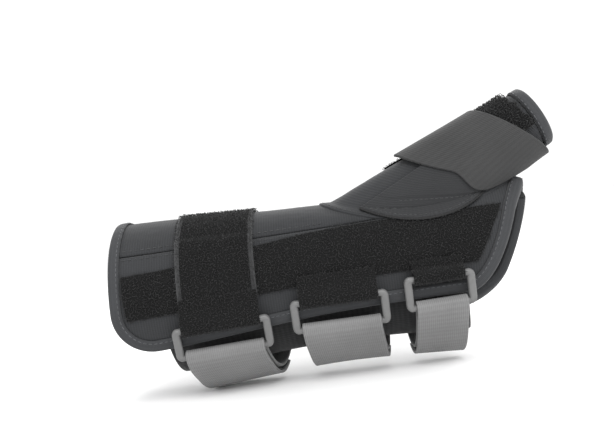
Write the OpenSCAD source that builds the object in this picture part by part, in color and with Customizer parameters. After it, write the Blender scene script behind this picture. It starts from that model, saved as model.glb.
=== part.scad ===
// Wrist and thumb splint for a right arm, worn on the back of the hand.
// +X runs from the elbow end to the fingers, +Z to the thumb side, -Y to the back of the hand.
// The origin is the middle of the forearm opening, at the elbow end.

/* [Arm and hand space] */
// Inside height of the forearm opening, little finger side to thumb side
forearm_height = 78; // [65:1:94]
// Inside depth of the forearm opening, back to front
forearm_depth = 62; // [52:1:75]
// Inside height at the wrist
wrist_height = 68; // [57:1:82]
// Inside depth at the wrist
wrist_depth = 48; // [42:1:58]
// Inside height at the end of the palm
palm_height = 74; // [62:1:89]
// Inside depth at the end of the palm
palm_depth = 36; // [32:1:43]
// How far the hand's middle stands above the forearm's middle
hand_rise = 2; // [0:0.5:5]

/* [Lengths] */
// Elbow end to the end of the back panel, at the thumb web
splint_l = 207; // [196:1:249]
// Elbow end to the wrist
wrist_x = 114; // [102:1:122]
// How far the back panel's lower corner is set back from its end at the web
low_setback = 35; // [28:1:40]
// How far the front panel reaches past the back panel
palm_overhang = 4; // [0:0.5:8]

/* [Cloth] */
// Thickness of the soft lining
lining_t = 1.8; // [1:0.1:3]
// Thickness of the laminated outer cloth
panel_t = 2; // [1.2:0.1:3]
// Thickness of the loop pile band
pile_t = 1.3; // [0.8:0.1:1.8]
// Width of the loop pile band
band_w = 25; // [18:1:30]
// Thickness of the binding tape
tape_t = 0.8; // [0.5:0.1:1.2]
// Width of the binding tape on each face
tape_w = 5; // [3:0.5:7]
// Gap left between two sewn layers
seam_gap = 0.2; // [0.1:0.05:0.4]
// Radius of the rounded elbow end corner
corner_r = 20; // [12:1:26]

/* [Straps and rings] */
// Width of the two wide straps
wide_strap_w = 38; // [31:0.1:46]
// Width of the narrow hand strap
narrow_strap_w = 25; // [20:0.1:30]
// Thickness of the elastic webbing
strap_t = 1.4; // [0.9:0.1:1.8]
// Diameter of a ring's two long bars
bar_d = 3.2; // [2.4:0.1:3.6]
// Width of a ring's two end bars
ring_end_w = 3.8; // [3:0.1:5]
// Distance between a ring's two long bars
ring_pitch = 13.8; // [11.5:0.1:16.6]
// Room between a strap's edge and a ring's end bar
ring_side_gap = 0.8; // [0.4:0.1:1.5]
// Thickness of the cloth tab folded round a ring's upper bar
tab_t = 1.1; // [0.7:0.1:1.4]
// Gap between a ring's bar and the cloth folded round it
fold_gap = 0.1; // [0.05:0.05:0.3]
// Elbow end to the middle of the forearm strap
forearm_strap_x = 51.5; // [44:0.5:54]
// How far the middle of the wrist strap lies behind the wrist
wrist_strap_back = 5.5; // [0:0.5:8]
// How far the middle of the hand strap lies behind the back panel's lower corner
hand_strap_back = 15; // [14:0.5:18]

/* [Thumb] */
// Outside radius of the thumb sleeve at its rim
thumb_r = 15.5; // [14:0.1:18.6]
// How far the middle of the thumb rim lies past the back panel's end
thumb_reach = 10; // [6:1:16]
// Height of the middle of the thumb rim above the middle of the hand
thumb_rise = 68; // [62:1:76]
// Angle of the thumb above the forearm
thumb_tilt = 26; // [20:1:32]
// Thickness of the thumb sleeve
sleeve_t = 2.2; // [1.6:0.1:3]
// Thickness of the thumb sleeve's lining
sleeve_lining_t = 1.2; // [0.8:0.1:1.8]
// Thickness of the thumb strap
thumb_strap_t = 1.4; // [1:0.1:2]

/* [Stays] */
// Width of the palm stay
palm_stay_w = 20; // [14:1:26]
// Thickness of the palm stay
palm_stay_t = 2; // [1.2:0.1:2.6]
// How far the palm stay ends short of the front panel's end
palm_stay_short = 31; // [26:1:60]
// Width of the back stay
back_stay_w = 13; // [10:1:18]
// Thickness of the back stay
back_stay_t = 1.4; // [1:0.1:2]
// How far the back stay reaches past the wrist
back_stay_past = 22; // [0:1:26]
// Play between a stay and its pocket
stay_play = 0.3; // [0.1:0.05:0.5]
// How far the back stay lies above the splint's middle
back_stay_z = 6; // [4:0.5:9]
// Thickness of a stay pocket's cloth
pocket_t = 0.8; // [0.5:0.1:1.2]

/* [Hidden] */
$fn = 48;

// Colours
CHARCOAL = [0.27, 0.27, 0.30];
LINING = [0.16, 0.16, 0.18];
PILE = [0.12, 0.12, 0.13];
TAPE = [0.24, 0.26, 0.30];
WEBBING = [0.55, 0.55, 0.56];
THUMB_WEBBING = [0.34, 0.34, 0.35];
RING = [0.56, 0.57, 0.58];
METAL = [0.75, 0.76, 0.78];

// Lengths that follow from the sizes above
web_x = splint_l;
low_end_x = web_x - low_setback;
palm_end_x = web_x + palm_overhang;
stay_start = 8;
palm_stay_l = palm_end_x - palm_stay_short - stay_start;
back_stay_l = wrist_x + back_stay_past - stay_start;

// Layers, each a distance out from the arm side of the lining
panel_in = lining_t + seam_gap;
panel_out = panel_in + panel_t;
band_in = panel_out + seam_gap;
band_out = band_in + pile_t;
tape_out = panel_out + seam_gap + tape_t;
tape_in = -seam_gap - tape_t;
tongue_out = tape_in - 0.3;
tongue_in = tongue_out - lining_t;
tab_in = tape_out + 0.1;
bar_r = bar_d / 2;
ring_out = tab_in + tab_t + fold_gap + bar_r;
run_out = ring_out - bar_r - 3 * fold_gap;
run_in = run_out - strap_t;
tail_in = run_out + 0.9;
hook_t = 0.8;
tail_cloth_in = tail_in + hook_t + 0.2;

// Angles round the arm: 0 is the back of the hand, 90 the thumb side, 180 the front.
// A pair is at the elbow end and at the finger end.
LOW_EDGE = [-27, -18];
SEAM = [40, 47];
SEAM_GAP = 0.7;
// The back panel's upper corner at the web
WEB_TOP = 70;
// The fold that the front panel opens about
HINGE = 125;
HINGE_GAP = 3;
front_top = HINGE + HINGE_GAP;
front_low = 222;
// The tongue's lower edge, and its upper edge behind the back stay and past it
TONGUE_LOW = -140;
TONGUE_TOP = [-16, -9];
// A strap's run ends at its lower edge, its tail a little above that
RUN_END = -116;
TAIL_END = -108;
HOOK_TOP = -80;
// Where the far end of a strap is sewn to the front panel
SEWN_END = [202, 242];

// Angles round the thumb: 0 is the back of the hand, 90 away from the fingers
STAY_A = [-6, 34];
OVERLAY_A = [-38, 44];
WRAP_A = [-112, 92];
PATCH_A = [93, 200];
THUMB_TAIL_A = [96, 186];
THUMB_HOOK_A = [140, 183];

// The thumb opening, an oval in length and angle
hole_back = 52;
hole_x = web_x - hole_back;
hole_l = 45;
hole_a = 40;
hole_rim = 4;

// Straps 1 to 3: middle, width and the ring's angle
STRAP_X = [forearm_strap_x, wrist_x - wrist_strap_back, low_end_x - hand_strap_back];
STRAP_W = [wide_strap_w, wide_strap_w, narrow_strap_w];
RING_A = [-23, -19, -13];
// How far each strap has leaned towards the fingers where its tail ends
STRAP_LEAN = [7, 4, -3];

// Slant of the pile band's end and of the front panel's end, and the tongue's start
band_short = [28, 20];
palm_slant = 26;
tongue_start = [27, 22];
tongue_slant = 4;
// Length of a ring tab's outer leg, and how far a hook tab lies inside its strap's edges
tab_leg = 6.5;
hook_inset = 2;

function clamp01(t) = min(1, max(0, t));
function ease(t) = let (c = clamp01(t)) c * c * (3 - 2 * c);
function mix(a, b, t) = a + (b - a) * t;

// Half sizes of the arm's space, and its middle, along the splint
function along(x, a, b, c) = x < wrist_x ? mix(a, b, ease(x / wrist_x))
    : mix(b, c, ease((x - wrist_x) / (web_x - wrist_x)));
function half_h(x) = along(x, forearm_height, wrist_height, palm_height) / 2;
function half_d(x) = along(x, forearm_depth, wrist_depth, palm_depth) / 2;
function mid_z(x) = hand_rise * ease(x / wrist_x);

// A point at length x and angle a, a distance out from the lining's arm side
function skin(x, a, out) = [x, -(half_d(x) + out) * cos(a), mid_z(x) + (half_h(x) + out) * sin(a)];
// Millimetres along the surface for one degree
function per_deg(x, a) = norm(skin(x, a + 0.5, 0) - skin(x, a - 0.5, 0));

// The triangles of a closed slab made of an outer and an inner grid of points
function slab_faces(nu, nv) = let (
        w = nv + 1,
        back = (nu + 1) * w,
        quad = function (a, b, c, d) [[a, b, c], [a, c, d]],
        cells = [for (i = [0:nu - 1], j = [0:nv - 1]) i * w + j],
        outer = [for (k = cells) each quad(k, k + 1, k + w + 1, k + w)],
        inner = [for (k = cells) each quad(back + k, back + k + w, back + k + w + 1, back + k + 1)],
        ends = [for (j = [0:nv - 1]) each concat(
            quad(j, back + j, back + j + 1, j + 1),
            quad(nu * w + j, nu * w + j + 1, back + nu * w + j + 1, back + nu * w + j))],
        sides = [for (i = [0:nu - 1]) each concat(
            quad(i * w, i * w + w, back + i * w + w, back + i * w),
            quad(i * w + nv, back + i * w + nv, back + i * w + w + nv, i * w + w + nv))]
    ) concat(outer, inner, ends, sides);

// A slab whose outer and inner faces are given by one function of u, v and side
module slab(nu, nv, place) {
    grid = function (side) [for (i = [0:nu], j = [0:nv]) place(i / nu, j / nv, side)];
    polyhedron(points = concat(grid(1), grid(0)), faces = slab_faces(nu, nv), convexity = 6);
}

// A slab on the arm's surface; spot gives length and angle, lift the two faces' distances
module cloth(nu, nv, spot, lift) {
    slab(nu, nv, function (u, v, side) let (s = spot(u, v)) skin(s[0], s[1], lift(s[0], s[1])[side]));
}

// A tape folded round an edge, as a channel; path gives length and angle along the edge
module edge_tape(n, path, turn) {
    profile = [[tape_in, tape_in], [tape_w, tape_in], [tape_w, -seam_gap],
        [-seam_gap, -seam_gap], [-seam_gap, panel_out + seam_gap], [tape_w, panel_out + seam_gap],
        [tape_w, tape_out], [tape_in, tape_out]];
    step = 0.01;
    section = function (s) let (
            p = path(s),
            k = per_deg(p[0], p[1]),
            a = path(max(0, s - step)),
            b = path(min(1, s + step)),
            d = [b[0] - a[0], (b[1] - a[1]) * k],
            into = turn * [-d[1], d[0]] / norm(d)
        ) [for (q = profile) skin(p[0] + into[0] * q[0], p[1] + into[1] * q[0] / k, q[1])];
    cap = [[0, 1, 2, 3], [0, 3, 4, 7], [4, 5, 6, 7]];
    points = [for (i = [0:n]) each section(i / n)];
    walls = [for (i = [0:n - 1], j = [0:7]) let (k = (j + 1) % 8)
        each [[i * 8 + j, i * 8 + k, i * 8 + 8 + k], [i * 8 + j, i * 8 + 8 + k, i * 8 + 8 + j]]];
    starts = [for (c = cap) each [[c[0], c[2], c[1]], [c[0], c[3], c[2]]]];
    ends = [for (c = cap) each [[c[0], c[1], c[2]] + [1, 1, 1] * n * 8,
        [c[0], c[2], c[3]] + [1, 1, 1] * n * 8]];
    all = concat(walls, starts, ends);
    flipped = [for (f = all) [f[0], f[2], f[1]]];
    polyhedron(points = points, faces = turn > 0 ? flipped : all, convexity = 8);
}

// ---- Outlines of the panels, in length and angle ----

function low_edge(x) = mix(LOW_EDGE[0], LOW_EDGE[1], ease(x / low_end_x));
function seam(x) = mix(SEAM[0], SEAM[1], ease(x / hole_x));
// Edge of the thumb opening below the sleeve, rising to the web
function hole_edge(x) = 90 - (hole_a + hole_rim)
    * sqrt(max(0, 1 - pow((x - hole_x) / (hole_l + hole_rim), 2)));
function back_top(x) = x < hole_x ? seam(x) : min(WEB_TOP, max(seam(x), hole_edge(x)));
// The rounded lower corner at the elbow end; v is 0 at the lower edge
function elbow_x(v) = let (c = clamp01(1 - v / 0.42)) corner_r * (1 - sqrt(1 - c * c));
function finger_x(v) = mix(low_end_x, web_x, pow(v, 0.6));

// Rows lie closer together near the lower edge, where the outline curves most
function back_spot(u, v) = let (
        r = v * v * (3 - v) / 2,
        x = mix(elbow_x(r), finger_x(r), u)
    ) [x, mix(low_edge(x), back_top(x), r)];
// The length at which the seam stands as high as the radial panel's lower finger-end corner
seam_level = 60;
function radial_end(a) = let (t = (90 - a) / (hole_a + hole_rim))
    hole_x - (hole_l + hole_rim) * sqrt(max(0, 1 - t * t));
function radial_spot(u, v) = let (
        side_a = mix(seam(seam_level) + SEAM_GAP, HINGE, v),
        x = radial_end(side_a) * u
    ) [x, mix(seam(x) + SEAM_GAP, HINGE, v)];
function front_edge(x) = max(front_top, 90 + (hole_a + hole_rim)
    * sqrt(max(0, 1 - pow((x - hole_x) / (hole_l + hole_rim), 2))));
function front_spot(u, v) = let (
        near = corner_r * (1 - sqrt(1 - pow(clamp01((v - 0.7) / 0.3), 2))),
        far = mix(palm_end_x, palm_end_x - palm_slant, pow(v, 2)) - near,
        x = mix(near, far, u)
    ) [x, mix(front_edge(x), front_low, v)];

function flat_lift(low, high) = function (x, a) [low, high];

module back_panel() {
    color(CHARCOAL) cloth(20, 12, function (u, v) back_spot(u, v), flat_lift(panel_in, panel_out));
}
module back_lining() {
    color(LINING) cloth(20, 12, function (u, v) back_spot(u, v), flat_lift(0, lining_t));
}
module radial_panel() {
    color(CHARCOAL) cloth(10, 10, function (u, v) radial_spot(u, v), flat_lift(panel_in, panel_out));
}
module radial_lining() {
    color(LINING) cloth(10, 10, function (u, v) radial_spot(u, v), flat_lift(0, lining_t));
}
module front_panel() {
    color(CHARCOAL) cloth(18, 10, function (u, v) front_spot(u, v), flat_lift(panel_in, panel_out));
}
module front_lining() {
    color(LINING) cloth(18, 10, function (u, v) front_spot(u, v), flat_lift(0, lining_t));
}

// The binding starts at the front hinge, goes round the elbow end, the lower edge and the web
function back_path(s) = s < 0.3 ? [0, mix(HINGE - 2, seam(0), s / 0.3)]
    : s < 0.5 ? back_spot(0, 1 - (s - 0.3) / 0.2)
    : s < 0.8 ? back_spot((s - 0.5) / 0.3, 0)
    : back_spot(1, (s - 0.8) / 0.2 * 0.97);
module edge_binding() {
    color(TAPE) edge_tape(60, function (s) back_path(s), 1);
}
function front_path(s) = s < 0.25 ? front_spot(0, mix(0.03, 1, s / 0.25))
    : s < 0.7 ? front_spot((s - 0.25) / 0.45, 1)
    : front_spot(1, mix(1, 0.04, (s - 0.7) / 0.3));
module front_binding() {
    color(TAPE) edge_tape(48, function (s) front_path(s), -1);
}

// ---- Loop pile ----

function band_low(x) = mix(-4, 2, ease(x / wrist_x));
module pile_band() {
    start = tape_w + 0.8;
    color(PILE) cloth(20, 5,
        function (u, v) let (
            x = mix(start, web_x - mix(band_short[0], band_short[1], v), u),
            a = band_low(x)
        ) [x, a + v * band_w / per_deg(x, a + 15)],
        flat_lift(band_in, band_out));
}
module forearm_pile_strap() {
    start = band_low(forearm_strap_x) + 3;
    over = band_low(forearm_strap_x) + band_w / per_deg(forearm_strap_x, 10) + 5;
    low = function (a) mix(band_out, panel_out, ease((a - over) / 6)) + seam_gap;
    color(PILE) cloth(6, 22,
        function (u, v) [forearm_strap_x + (u - 0.5) * wide_strap_w, mix(start, HINGE - 4, v)],
        function (x, a) [low(a), low(a) + pile_t]);
}

// ---- Rings, tabs and straps ----

function ring_tilt(i) = let (x = STRAP_X[i], a = RING_A[i])
    atan2(-sin(a) / (half_h(x) + ring_out), cos(a) / (half_d(x) + ring_out));
// How far the surface under a ring turns in towards the fingers
function ring_turn(i) = let (
        run = skin(STRAP_X[i] + 1, RING_A[i], 0) - skin(STRAP_X[i] - 1, RING_A[i], 0)
    ) asin(run * [0, cos(ring_tilt(i)), sin(ring_tilt(i))] / norm(run));
// Puts its children in a ring's own plane: x along the bars, y up, z away from the arm
module at_ring(i) {
    translate(skin(STRAP_X[i], RING_A[i], ring_out)) rotate([90 + ring_tilt(i), 0, 0])
        rotate([0, ring_turn(i), 0]) children();
}

module ring(i) {
    inner = STRAP_W[i] + 2 * ring_side_gap;
    color(RING) at_ring(i) {
        for (y = [-1, 1]) translate([-inner / 2 - ring_end_w / 2, y * ring_pitch / 2, 0])
            rotate([0, 90, 0]) cylinder(d = bar_d, h = inner + ring_end_w);
        for (x = [-1, 1]) translate([x * (inner + ring_end_w) / 2, 0, 0])
            linear_extrude(bar_d, center = true) {
                square([ring_end_w, ring_pitch], center = true);
                for (y = [-1, 1]) translate([0, y * ring_pitch / 2]) circle(d = ring_end_w);
            }
    }
}

// A tab of cloth from the pile band, down, round the upper bar and back up
module ring_tab(i) {
    r_in = bar_r + fold_gap;
    r_out = r_in + tab_t;
    color(PILE) at_ring(i) translate([0, ring_pitch / 2, 0])
        rotate([0, 90, 0]) linear_extrude(STRAP_W[i], center = true) {
            difference() {
                circle(r = r_out);
                circle(r = r_in);
                translate([-r_out - 1, 0]) square([2 * r_out + 2, r_out + 1]);
            }
            translate([r_in, 0]) square([tab_t, tab_leg / 2]);
            translate([-r_out, 0]) square([tab_t, tab_leg]);
        }
}

// The angle that a strap's tail starts from, at its ring's lower bar
function tail_top(i) = RING_A[i] - 0.5 * ring_pitch / per_deg(STRAP_X[i], RING_A[i]);
// Length at a share u across strap i, a width w of it; below its ring it leans along the arm
function strap_at(i, u, w, a) = STRAP_X[i] + (u - 0.5) * w
    + STRAP_LEAN[i] * max(0, (tail_top(i) - a) / (tail_top(i) - TAIL_END));

// The run of a strap from its ring's lower bar round the little finger side
module strap_run(i) {
    top = RING_A[i] - 0.6 * ring_pitch / per_deg(STRAP_X[i], RING_A[i]) - 1;
    color(WEBBING) cloth(3, 14,
        function (u, v) let (a = mix(RUN_END, top, v)) [strap_at(i, u, STRAP_W[i], a), a],
        flat_lift(run_in, run_out));
}
// The end of a strap, sewn to the front panel
module strap_end(i) {
    color(WEBBING) cloth(3, 8,
        function (u, v) let (a = mix(SEWN_END[0], SEWN_END[1], v))
            [strap_at(i, u, STRAP_W[i], a - 360), a],
        flat_lift(tape_out + 0.2, tape_out + 0.2 + strap_t));
}
// The tail of a strap, from the lower bar's outer side down over the run.
// The arm curves away under a flat ring, so its lower bar stands this much further out
function bar_rise(i) = let (x = STRAP_X[i], a = half_h(x) + ring_out, b = half_d(x) + ring_out)
    pow(ring_pitch / 2, 2) * b / (2 * a * a);
function tail_lift(i, a) = mix(ring_out + bar_rise(i) + bar_r + 4 * fold_gap, tail_cloth_in,
    ease((tail_top(i) - a) / 16));
module strap_tail(i) {
    color(WEBBING) cloth(3, 16,
        function (u, v) let (a = mix(TAIL_END, tail_top(i) + 1, v)) [strap_at(i, u, STRAP_W[i], a), a],
        function (x, a) [tail_lift(i, a), tail_lift(i, a) + strap_t]);
}
// The hook tab under a tail's end
module hook_tab(i) {
    color(PILE) cloth(2, 6,
        function (u, v) let (a = mix(TAIL_END + 2, HOOK_TOP, v))
            [strap_at(i, u, STRAP_W[i] - 2 * hook_inset, a), a],
        flat_lift(tail_in, tail_in + hook_t));
}

// The tongue that closes the gap on the little finger side, tucked inside both panels
module ulnar_tongue() {
    color(LINING) cloth(12, 14,
        function (u, v) let (
            x = mix(mix(tongue_start[0], tongue_start[1], v), low_end_x + (1 - 2 * v) * tongue_slant, u),
            top = mix(TONGUE_TOP[0], TONGUE_TOP[1], ease((x - back_stay_l - 14) / 16))
        ) [x, mix(TONGUE_LOW, top, v)],
        flat_lift(tongue_in, tongue_out));
}

// ---- Thumb ----

THUMB = [cos(thumb_tilt), 0, sin(thumb_tilt)];
THUMB_UP = [-sin(thumb_tilt), 0, cos(thumb_tilt)];
THUMB_RIM = [web_x + thumb_reach, -1, hand_rise + thumb_rise];
// Direction out of the sleeve: 0 is the back of the hand, 90 away from the fingers
function ray(f) = [0, -cos(f), 0] + THUMB_UP * sin(f);
function sleeve_base(f) = skin(hole_x - hole_l * sin(f), 90 - hole_a * cos(f), panel_out);
// A point on the sleeve; s runs from 0 at the hand to 1 at the rim
function sleeve(s, f, out) = let (
        a = sleeve_base(f),
        d = THUMB_RIM + ray(f) * thumb_r,
        k = norm(d - a) / 3,
        b = a + THUMB * k,
        c = d - THUMB * k,
        r = 1 - s
    ) r * r * r * a + 3 * r * r * s * b + 3 * r * s * s * c + s * s * s * d + ray(f) * out;

// A tube has its seam closed by wrapping the last column onto the first
module tube(ns, nf, low, high) {
    w = nf;
    ring_points = function (out) [for (i = [0:ns], j = [0:nf - 1]) sleeve(i / ns, j * 360 / nf, out)];
    back = (ns + 1) * w;
    quad = function (a, b, c, d) [[a, b, c], [a, c, d]];
    walls = [for (i = [0:ns - 1], j = [0:nf - 1]) let (k = (j + 1) % w) each concat(
        quad(i * w + j, i * w + k, i * w + w + k, i * w + w + j),
        quad(back + i * w + j, back + i * w + w + j, back + i * w + w + k, back + i * w + k))];
    rims = [for (j = [0:nf - 1]) let (k = (j + 1) % w, e = ns * w) each concat(
        quad(j, back + j, back + k, k),
        quad(e + j, e + k, back + e + k, back + e + j))];
    polyhedron(points = concat(ring_points(high), ring_points(low)), faces = concat(walls, rims),
        convexity = 6);
}
module thumb_sleeve() {
    color(CHARCOAL) tube(10, 36, -sleeve_t, 0);
}
module thumb_lining() {
    color(LINING) tube(8, 28, -sleeve_t - seam_gap - sleeve_lining_t, -sleeve_t - seam_gap);
}
module thumb_binding() {
    inner = thumb_r - sleeve_t - seam_gap - sleeve_lining_t - tape_t;
    outer = thumb_r + tape_t;
    color(TAPE) translate(THUMB_RIM) rotate([0, 90 - thumb_tilt, 0]) translate([0, 0, seam_gap])
        rotate_extrude() {
            translate([inner, 0]) square([outer - inner, tape_t]);
            translate([(inner + outer) / 2, tape_t]) circle(d = tape_t * 2);
        }
}

// A piece of cloth on the sleeve; spot gives s and the angle
module on_sleeve(nu, nv, spot, low, high) {
    slab(nu, nv, function (u, v, side) let (s = spot(u, v)) sleeve(s[0], s[1], side == 1 ? high : low));
}
stay_low = seam_gap;
stay_high = stay_low + 1;
overlay_low = stay_high + seam_gap;
overlay_high = overlay_low + 0.9;
wrap_low = overlay_high + seam_gap;
wrap_high = wrap_low + thumb_strap_t;

module thumb_stay() {
    color(METAL) on_sleeve(12, 6, function (u, v) [mix(0.12, 0.82, u), mix(STAY_A[0], STAY_A[1], v)],
        stay_low, stay_high);
}
module thumb_overlay() {
    color(CHARCOAL) on_sleeve(10, 10,
        function (u, v) let (f = mix(OVERLAY_A[0], OVERLAY_A[1], v)) [mix(0.06, 0.5 + 0.25 * sin(f), u), f],
        overlay_low, overlay_high);
}
// Edges of the strap that crosses the thumb, as s at an angle round it. The near edge dips
// towards the hand at the web.
function wrap_near(f) = 0.37 - 0.26 * ease((15 - f) / 55) * ease((f + 80) / 45);
function wrap_far(f) = mix(0.88, 0.77, (f + 95) / 185);
module thumb_strap() {
    color(THUMB_WEBBING) on_sleeve(6, 20,
        function (u, v) let (f = mix(WRAP_A[0], WRAP_A[1], v)) [mix(wrap_near(f), wrap_far(f), u), f],
        wrap_low, wrap_high);
}
module thumb_pile_patch() {
    color(PILE) on_sleeve(6, 10, function (u, v) [mix(0.3, 0.86, u), mix(PATCH_A[0], PATCH_A[1], v)],
        seam_gap, seam_gap + pile_t);
}
tail_wrap_low = wrap_low + 0.4;
module thumb_strap_tail() {
    color(THUMB_WEBBING) on_sleeve(5, 10,
        function (u, v) [mix(0.4, 0.76, u), mix(THUMB_TAIL_A[0], THUMB_TAIL_A[1], v)],
        tail_wrap_low, tail_wrap_low + thumb_strap_t);
}
module thumb_hook_tab() {
    low = seam_gap + pile_t + 0.15;
    color(PILE) on_sleeve(4, 5,
        function (u, v) [mix(0.43, 0.73, u), mix(THUMB_HOOK_A[0], THUMB_HOOK_A[1], v)],
        low, tail_wrap_low - 0.1);
}

// ---- Stays and their pockets ----

// How far a pocket's cloth reaches past its stay's edge and ends
pocket_hem = 3;
// Depth of the arm's space at length x, at a height z
function depth_at(x, z) = half_d(x) * sqrt(1 - pow((z - mid_z(x)) / half_h(x), 2));
// A stay lies straight along the splint, as near the lining as its pocket's edges and the
// binding at the splint's end allow. This gives its pocket's outer face at the stay's two ends.
function stay_line(w, z, length) = let (
        half = w / 2 + stay_play + pocket_hem,
        room = function (x) min(depth_at(x, z - half), depth_at(x, z + half)),
        y0 = room(stay_start),
        y1 = room(stay_start + length),
        steps = 20,
        over = max([for (k = [0:steps])
            let (t = k / steps) mix(y0, y1, t) - room(stay_start + t * length)]),
        clear = tape_t + 2 * seam_gap
    ) [y0 - over - clear, y1 - over - clear];
// Places children with x along the stay and z out of the arm's space
module at_stay(side, w, t, z, length) {
    face = stay_line(w, z, length);
    inset = pocket_t + stay_play + t / 2;
    translate([stay_start, side * (face[0] - inset), z])
        rotate([0, 0, side * atan2(face[1] - face[0], length)]) rotate([side * -90, 0, 0]) children();
}
module bar(length, w, t) {
    linear_extrude(t, center = true) {
        translate([w / 2, -w / 2]) square([length - w, w]);
        for (x = [w / 2, length - w / 2]) translate([x, 0]) circle(d = w);
    }
}
module pocket(length, w, t) {
    wide = w + 2 * stay_play;
    tall = t + 2 * stay_play;
    difference() {
        translate([-pocket_hem, -wide / 2 - pocket_hem, -tall / 2 - pocket_t])
            cube([length + 2 * pocket_hem, wide + 2 * pocket_hem, tall + 2 * pocket_t]);
        translate([-pocket_hem - 1, -wide / 2, -tall / 2])
            cube([length + pocket_hem + 1 + stay_play, wide, tall]);
    }
}
module at_palm_stay() {
    at_stay(1, palm_stay_w, palm_stay_t, 0, palm_stay_l) children();
}
module palm_stay() {
    color(METAL) at_palm_stay() bar(palm_stay_l, palm_stay_w, palm_stay_t);
}
module palm_stay_pocket() {
    color(LINING) at_palm_stay() pocket(palm_stay_l, palm_stay_w, palm_stay_t);
}
module at_back_stay() {
    at_stay(-1, back_stay_w, back_stay_t, back_stay_z, back_stay_l) children();
}
module back_stay() {
    color(METAL) at_back_stay() bar(back_stay_l, back_stay_w, back_stay_t);
}
module back_stay_pocket() {
    color(LINING) at_back_stay() pocket(back_stay_l, back_stay_w, back_stay_t);
}

back_panel();
radial_panel();
back_lining();
radial_lining();
edge_binding();
pile_band();
forearm_pile_strap();
ring_tab(0);  // ring_tab_1
ring_tab(1);  // ring_tab_2
ring_tab(2);  // ring_tab_3
ulnar_tongue();
strap_run(0);  // strap_run_1
strap_run(1);  // strap_run_2
strap_run(2);  // strap_run_3
thumb_sleeve();
thumb_lining();
thumb_binding();
thumb_stay();
thumb_overlay();
thumb_strap();
thumb_pile_patch();
thumb_strap_tail();
thumb_hook_tab();
back_stay_pocket();
back_stay();
front_panel();
front_lining();
front_binding();
strap_end(0);  // strap_end_1
strap_end(1);  // strap_end_2
strap_end(2);  // strap_end_3
palm_stay_pocket();
palm_stay();
ring(0);  // ring_1
ring(1);  // ring_2
ring(2);  // ring_3
strap_tail(0);  // strap_tail_1
strap_tail(1);  // strap_tail_2
strap_tail(2);  // strap_tail_3
hook_tab(0);  // hook_tab_1
hook_tab(1);  // hook_tab_2
hook_tab(2);  // hook_tab_3
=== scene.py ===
# %% [markdown]
# # A wrist and thumb splint
#
# This lesson dresses a imported CAD model of a splint in cloth, webbing and moulded plastic.
# The imported model is the frame: it says where each piece is and what moves with what. Most
# pieces made here replace one of its plain solids, and most ride on the same body.

# %% Load the frame
import math
import bpy
import numpy as np
from mathutils import Matrix, Vector


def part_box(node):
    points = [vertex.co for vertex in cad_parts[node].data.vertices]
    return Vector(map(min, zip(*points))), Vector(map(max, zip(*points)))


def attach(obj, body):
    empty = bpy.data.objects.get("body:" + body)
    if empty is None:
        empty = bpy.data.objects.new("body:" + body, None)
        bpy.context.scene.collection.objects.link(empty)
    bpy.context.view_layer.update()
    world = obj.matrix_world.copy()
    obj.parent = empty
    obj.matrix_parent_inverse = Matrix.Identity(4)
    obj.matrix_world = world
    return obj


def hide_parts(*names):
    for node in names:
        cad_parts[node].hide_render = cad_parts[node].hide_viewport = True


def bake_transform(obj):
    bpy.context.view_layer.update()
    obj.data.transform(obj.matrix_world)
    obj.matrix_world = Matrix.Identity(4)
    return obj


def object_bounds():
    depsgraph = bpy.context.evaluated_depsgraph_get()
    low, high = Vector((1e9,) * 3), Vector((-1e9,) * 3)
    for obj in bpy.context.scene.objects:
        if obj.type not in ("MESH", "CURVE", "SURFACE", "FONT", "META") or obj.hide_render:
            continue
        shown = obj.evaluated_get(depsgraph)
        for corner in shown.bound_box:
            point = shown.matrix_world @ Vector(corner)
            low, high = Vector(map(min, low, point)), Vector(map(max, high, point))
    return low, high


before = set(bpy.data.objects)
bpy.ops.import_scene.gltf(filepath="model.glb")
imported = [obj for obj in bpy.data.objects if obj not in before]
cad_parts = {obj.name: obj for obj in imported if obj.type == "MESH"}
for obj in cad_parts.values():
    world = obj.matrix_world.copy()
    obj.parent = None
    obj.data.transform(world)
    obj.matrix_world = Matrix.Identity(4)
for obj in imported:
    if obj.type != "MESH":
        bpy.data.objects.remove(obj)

bpy.context.view_layer.update()

# %% [markdown]
# ## The arm's shape
#
# A splint is cut flat and sewn, and takes its shape from the arm inside it. So the whole model
# hangs on one surface: an oval tube that narrows to the wrist and flattens over the hand. A
# place on it is a length from the elbow end, an angle round the arm and a distance out from
# the skin. An angle of 0 is the back of the hand and 90 is the thumb side. Lengths are in
# millimetres here, because that is how cloth is measured, and they become metres in a mesh.

# %% The surface that everything lies on
MM = 0.001
WRIST, WEB, LOW_END, PALM_END = 114.0, 207.0, 172.0, 211.0


def ease(t):
    c = np.clip(t, 0, 1)
    return c * c * (3 - 2 * c)


def mix(a, b, t):
    return a + (b - a) * t


def along(x, elbow, wrist, palm):
    before = mix(elbow, wrist, ease(x / WRIST))
    return np.where(x < WRIST, before, mix(wrist, palm, ease((x - WRIST) / (WEB - WRIST))))


def half_height(x):
    return along(x, 78, 68, 74) / 2


def half_depth(x):
    return along(x, 62, 48, 36) / 2


def skin(x, angle, out):
    """Points on the arm, with their three coordinates on the last axis."""
    x, angle, out = np.broadcast_arrays(x, np.radians(angle), out)
    y = -(half_depth(x) + out) * np.cos(angle)
    z = 2 * ease(x / WRIST) + (half_height(x) + out) * np.sin(angle)
    return np.stack([x, y, z], -1)


def per_degree(x, angle):
    """Millimetres along the surface for one degree."""
    return np.linalg.norm(skin(x, angle + 0.5, 0) - skin(x, angle - 0.5, 0), axis=-1)


print("wrist is", 2 * half_depth(WRIST), "by", 2 * half_height(WRIST), "mm inside")

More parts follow.
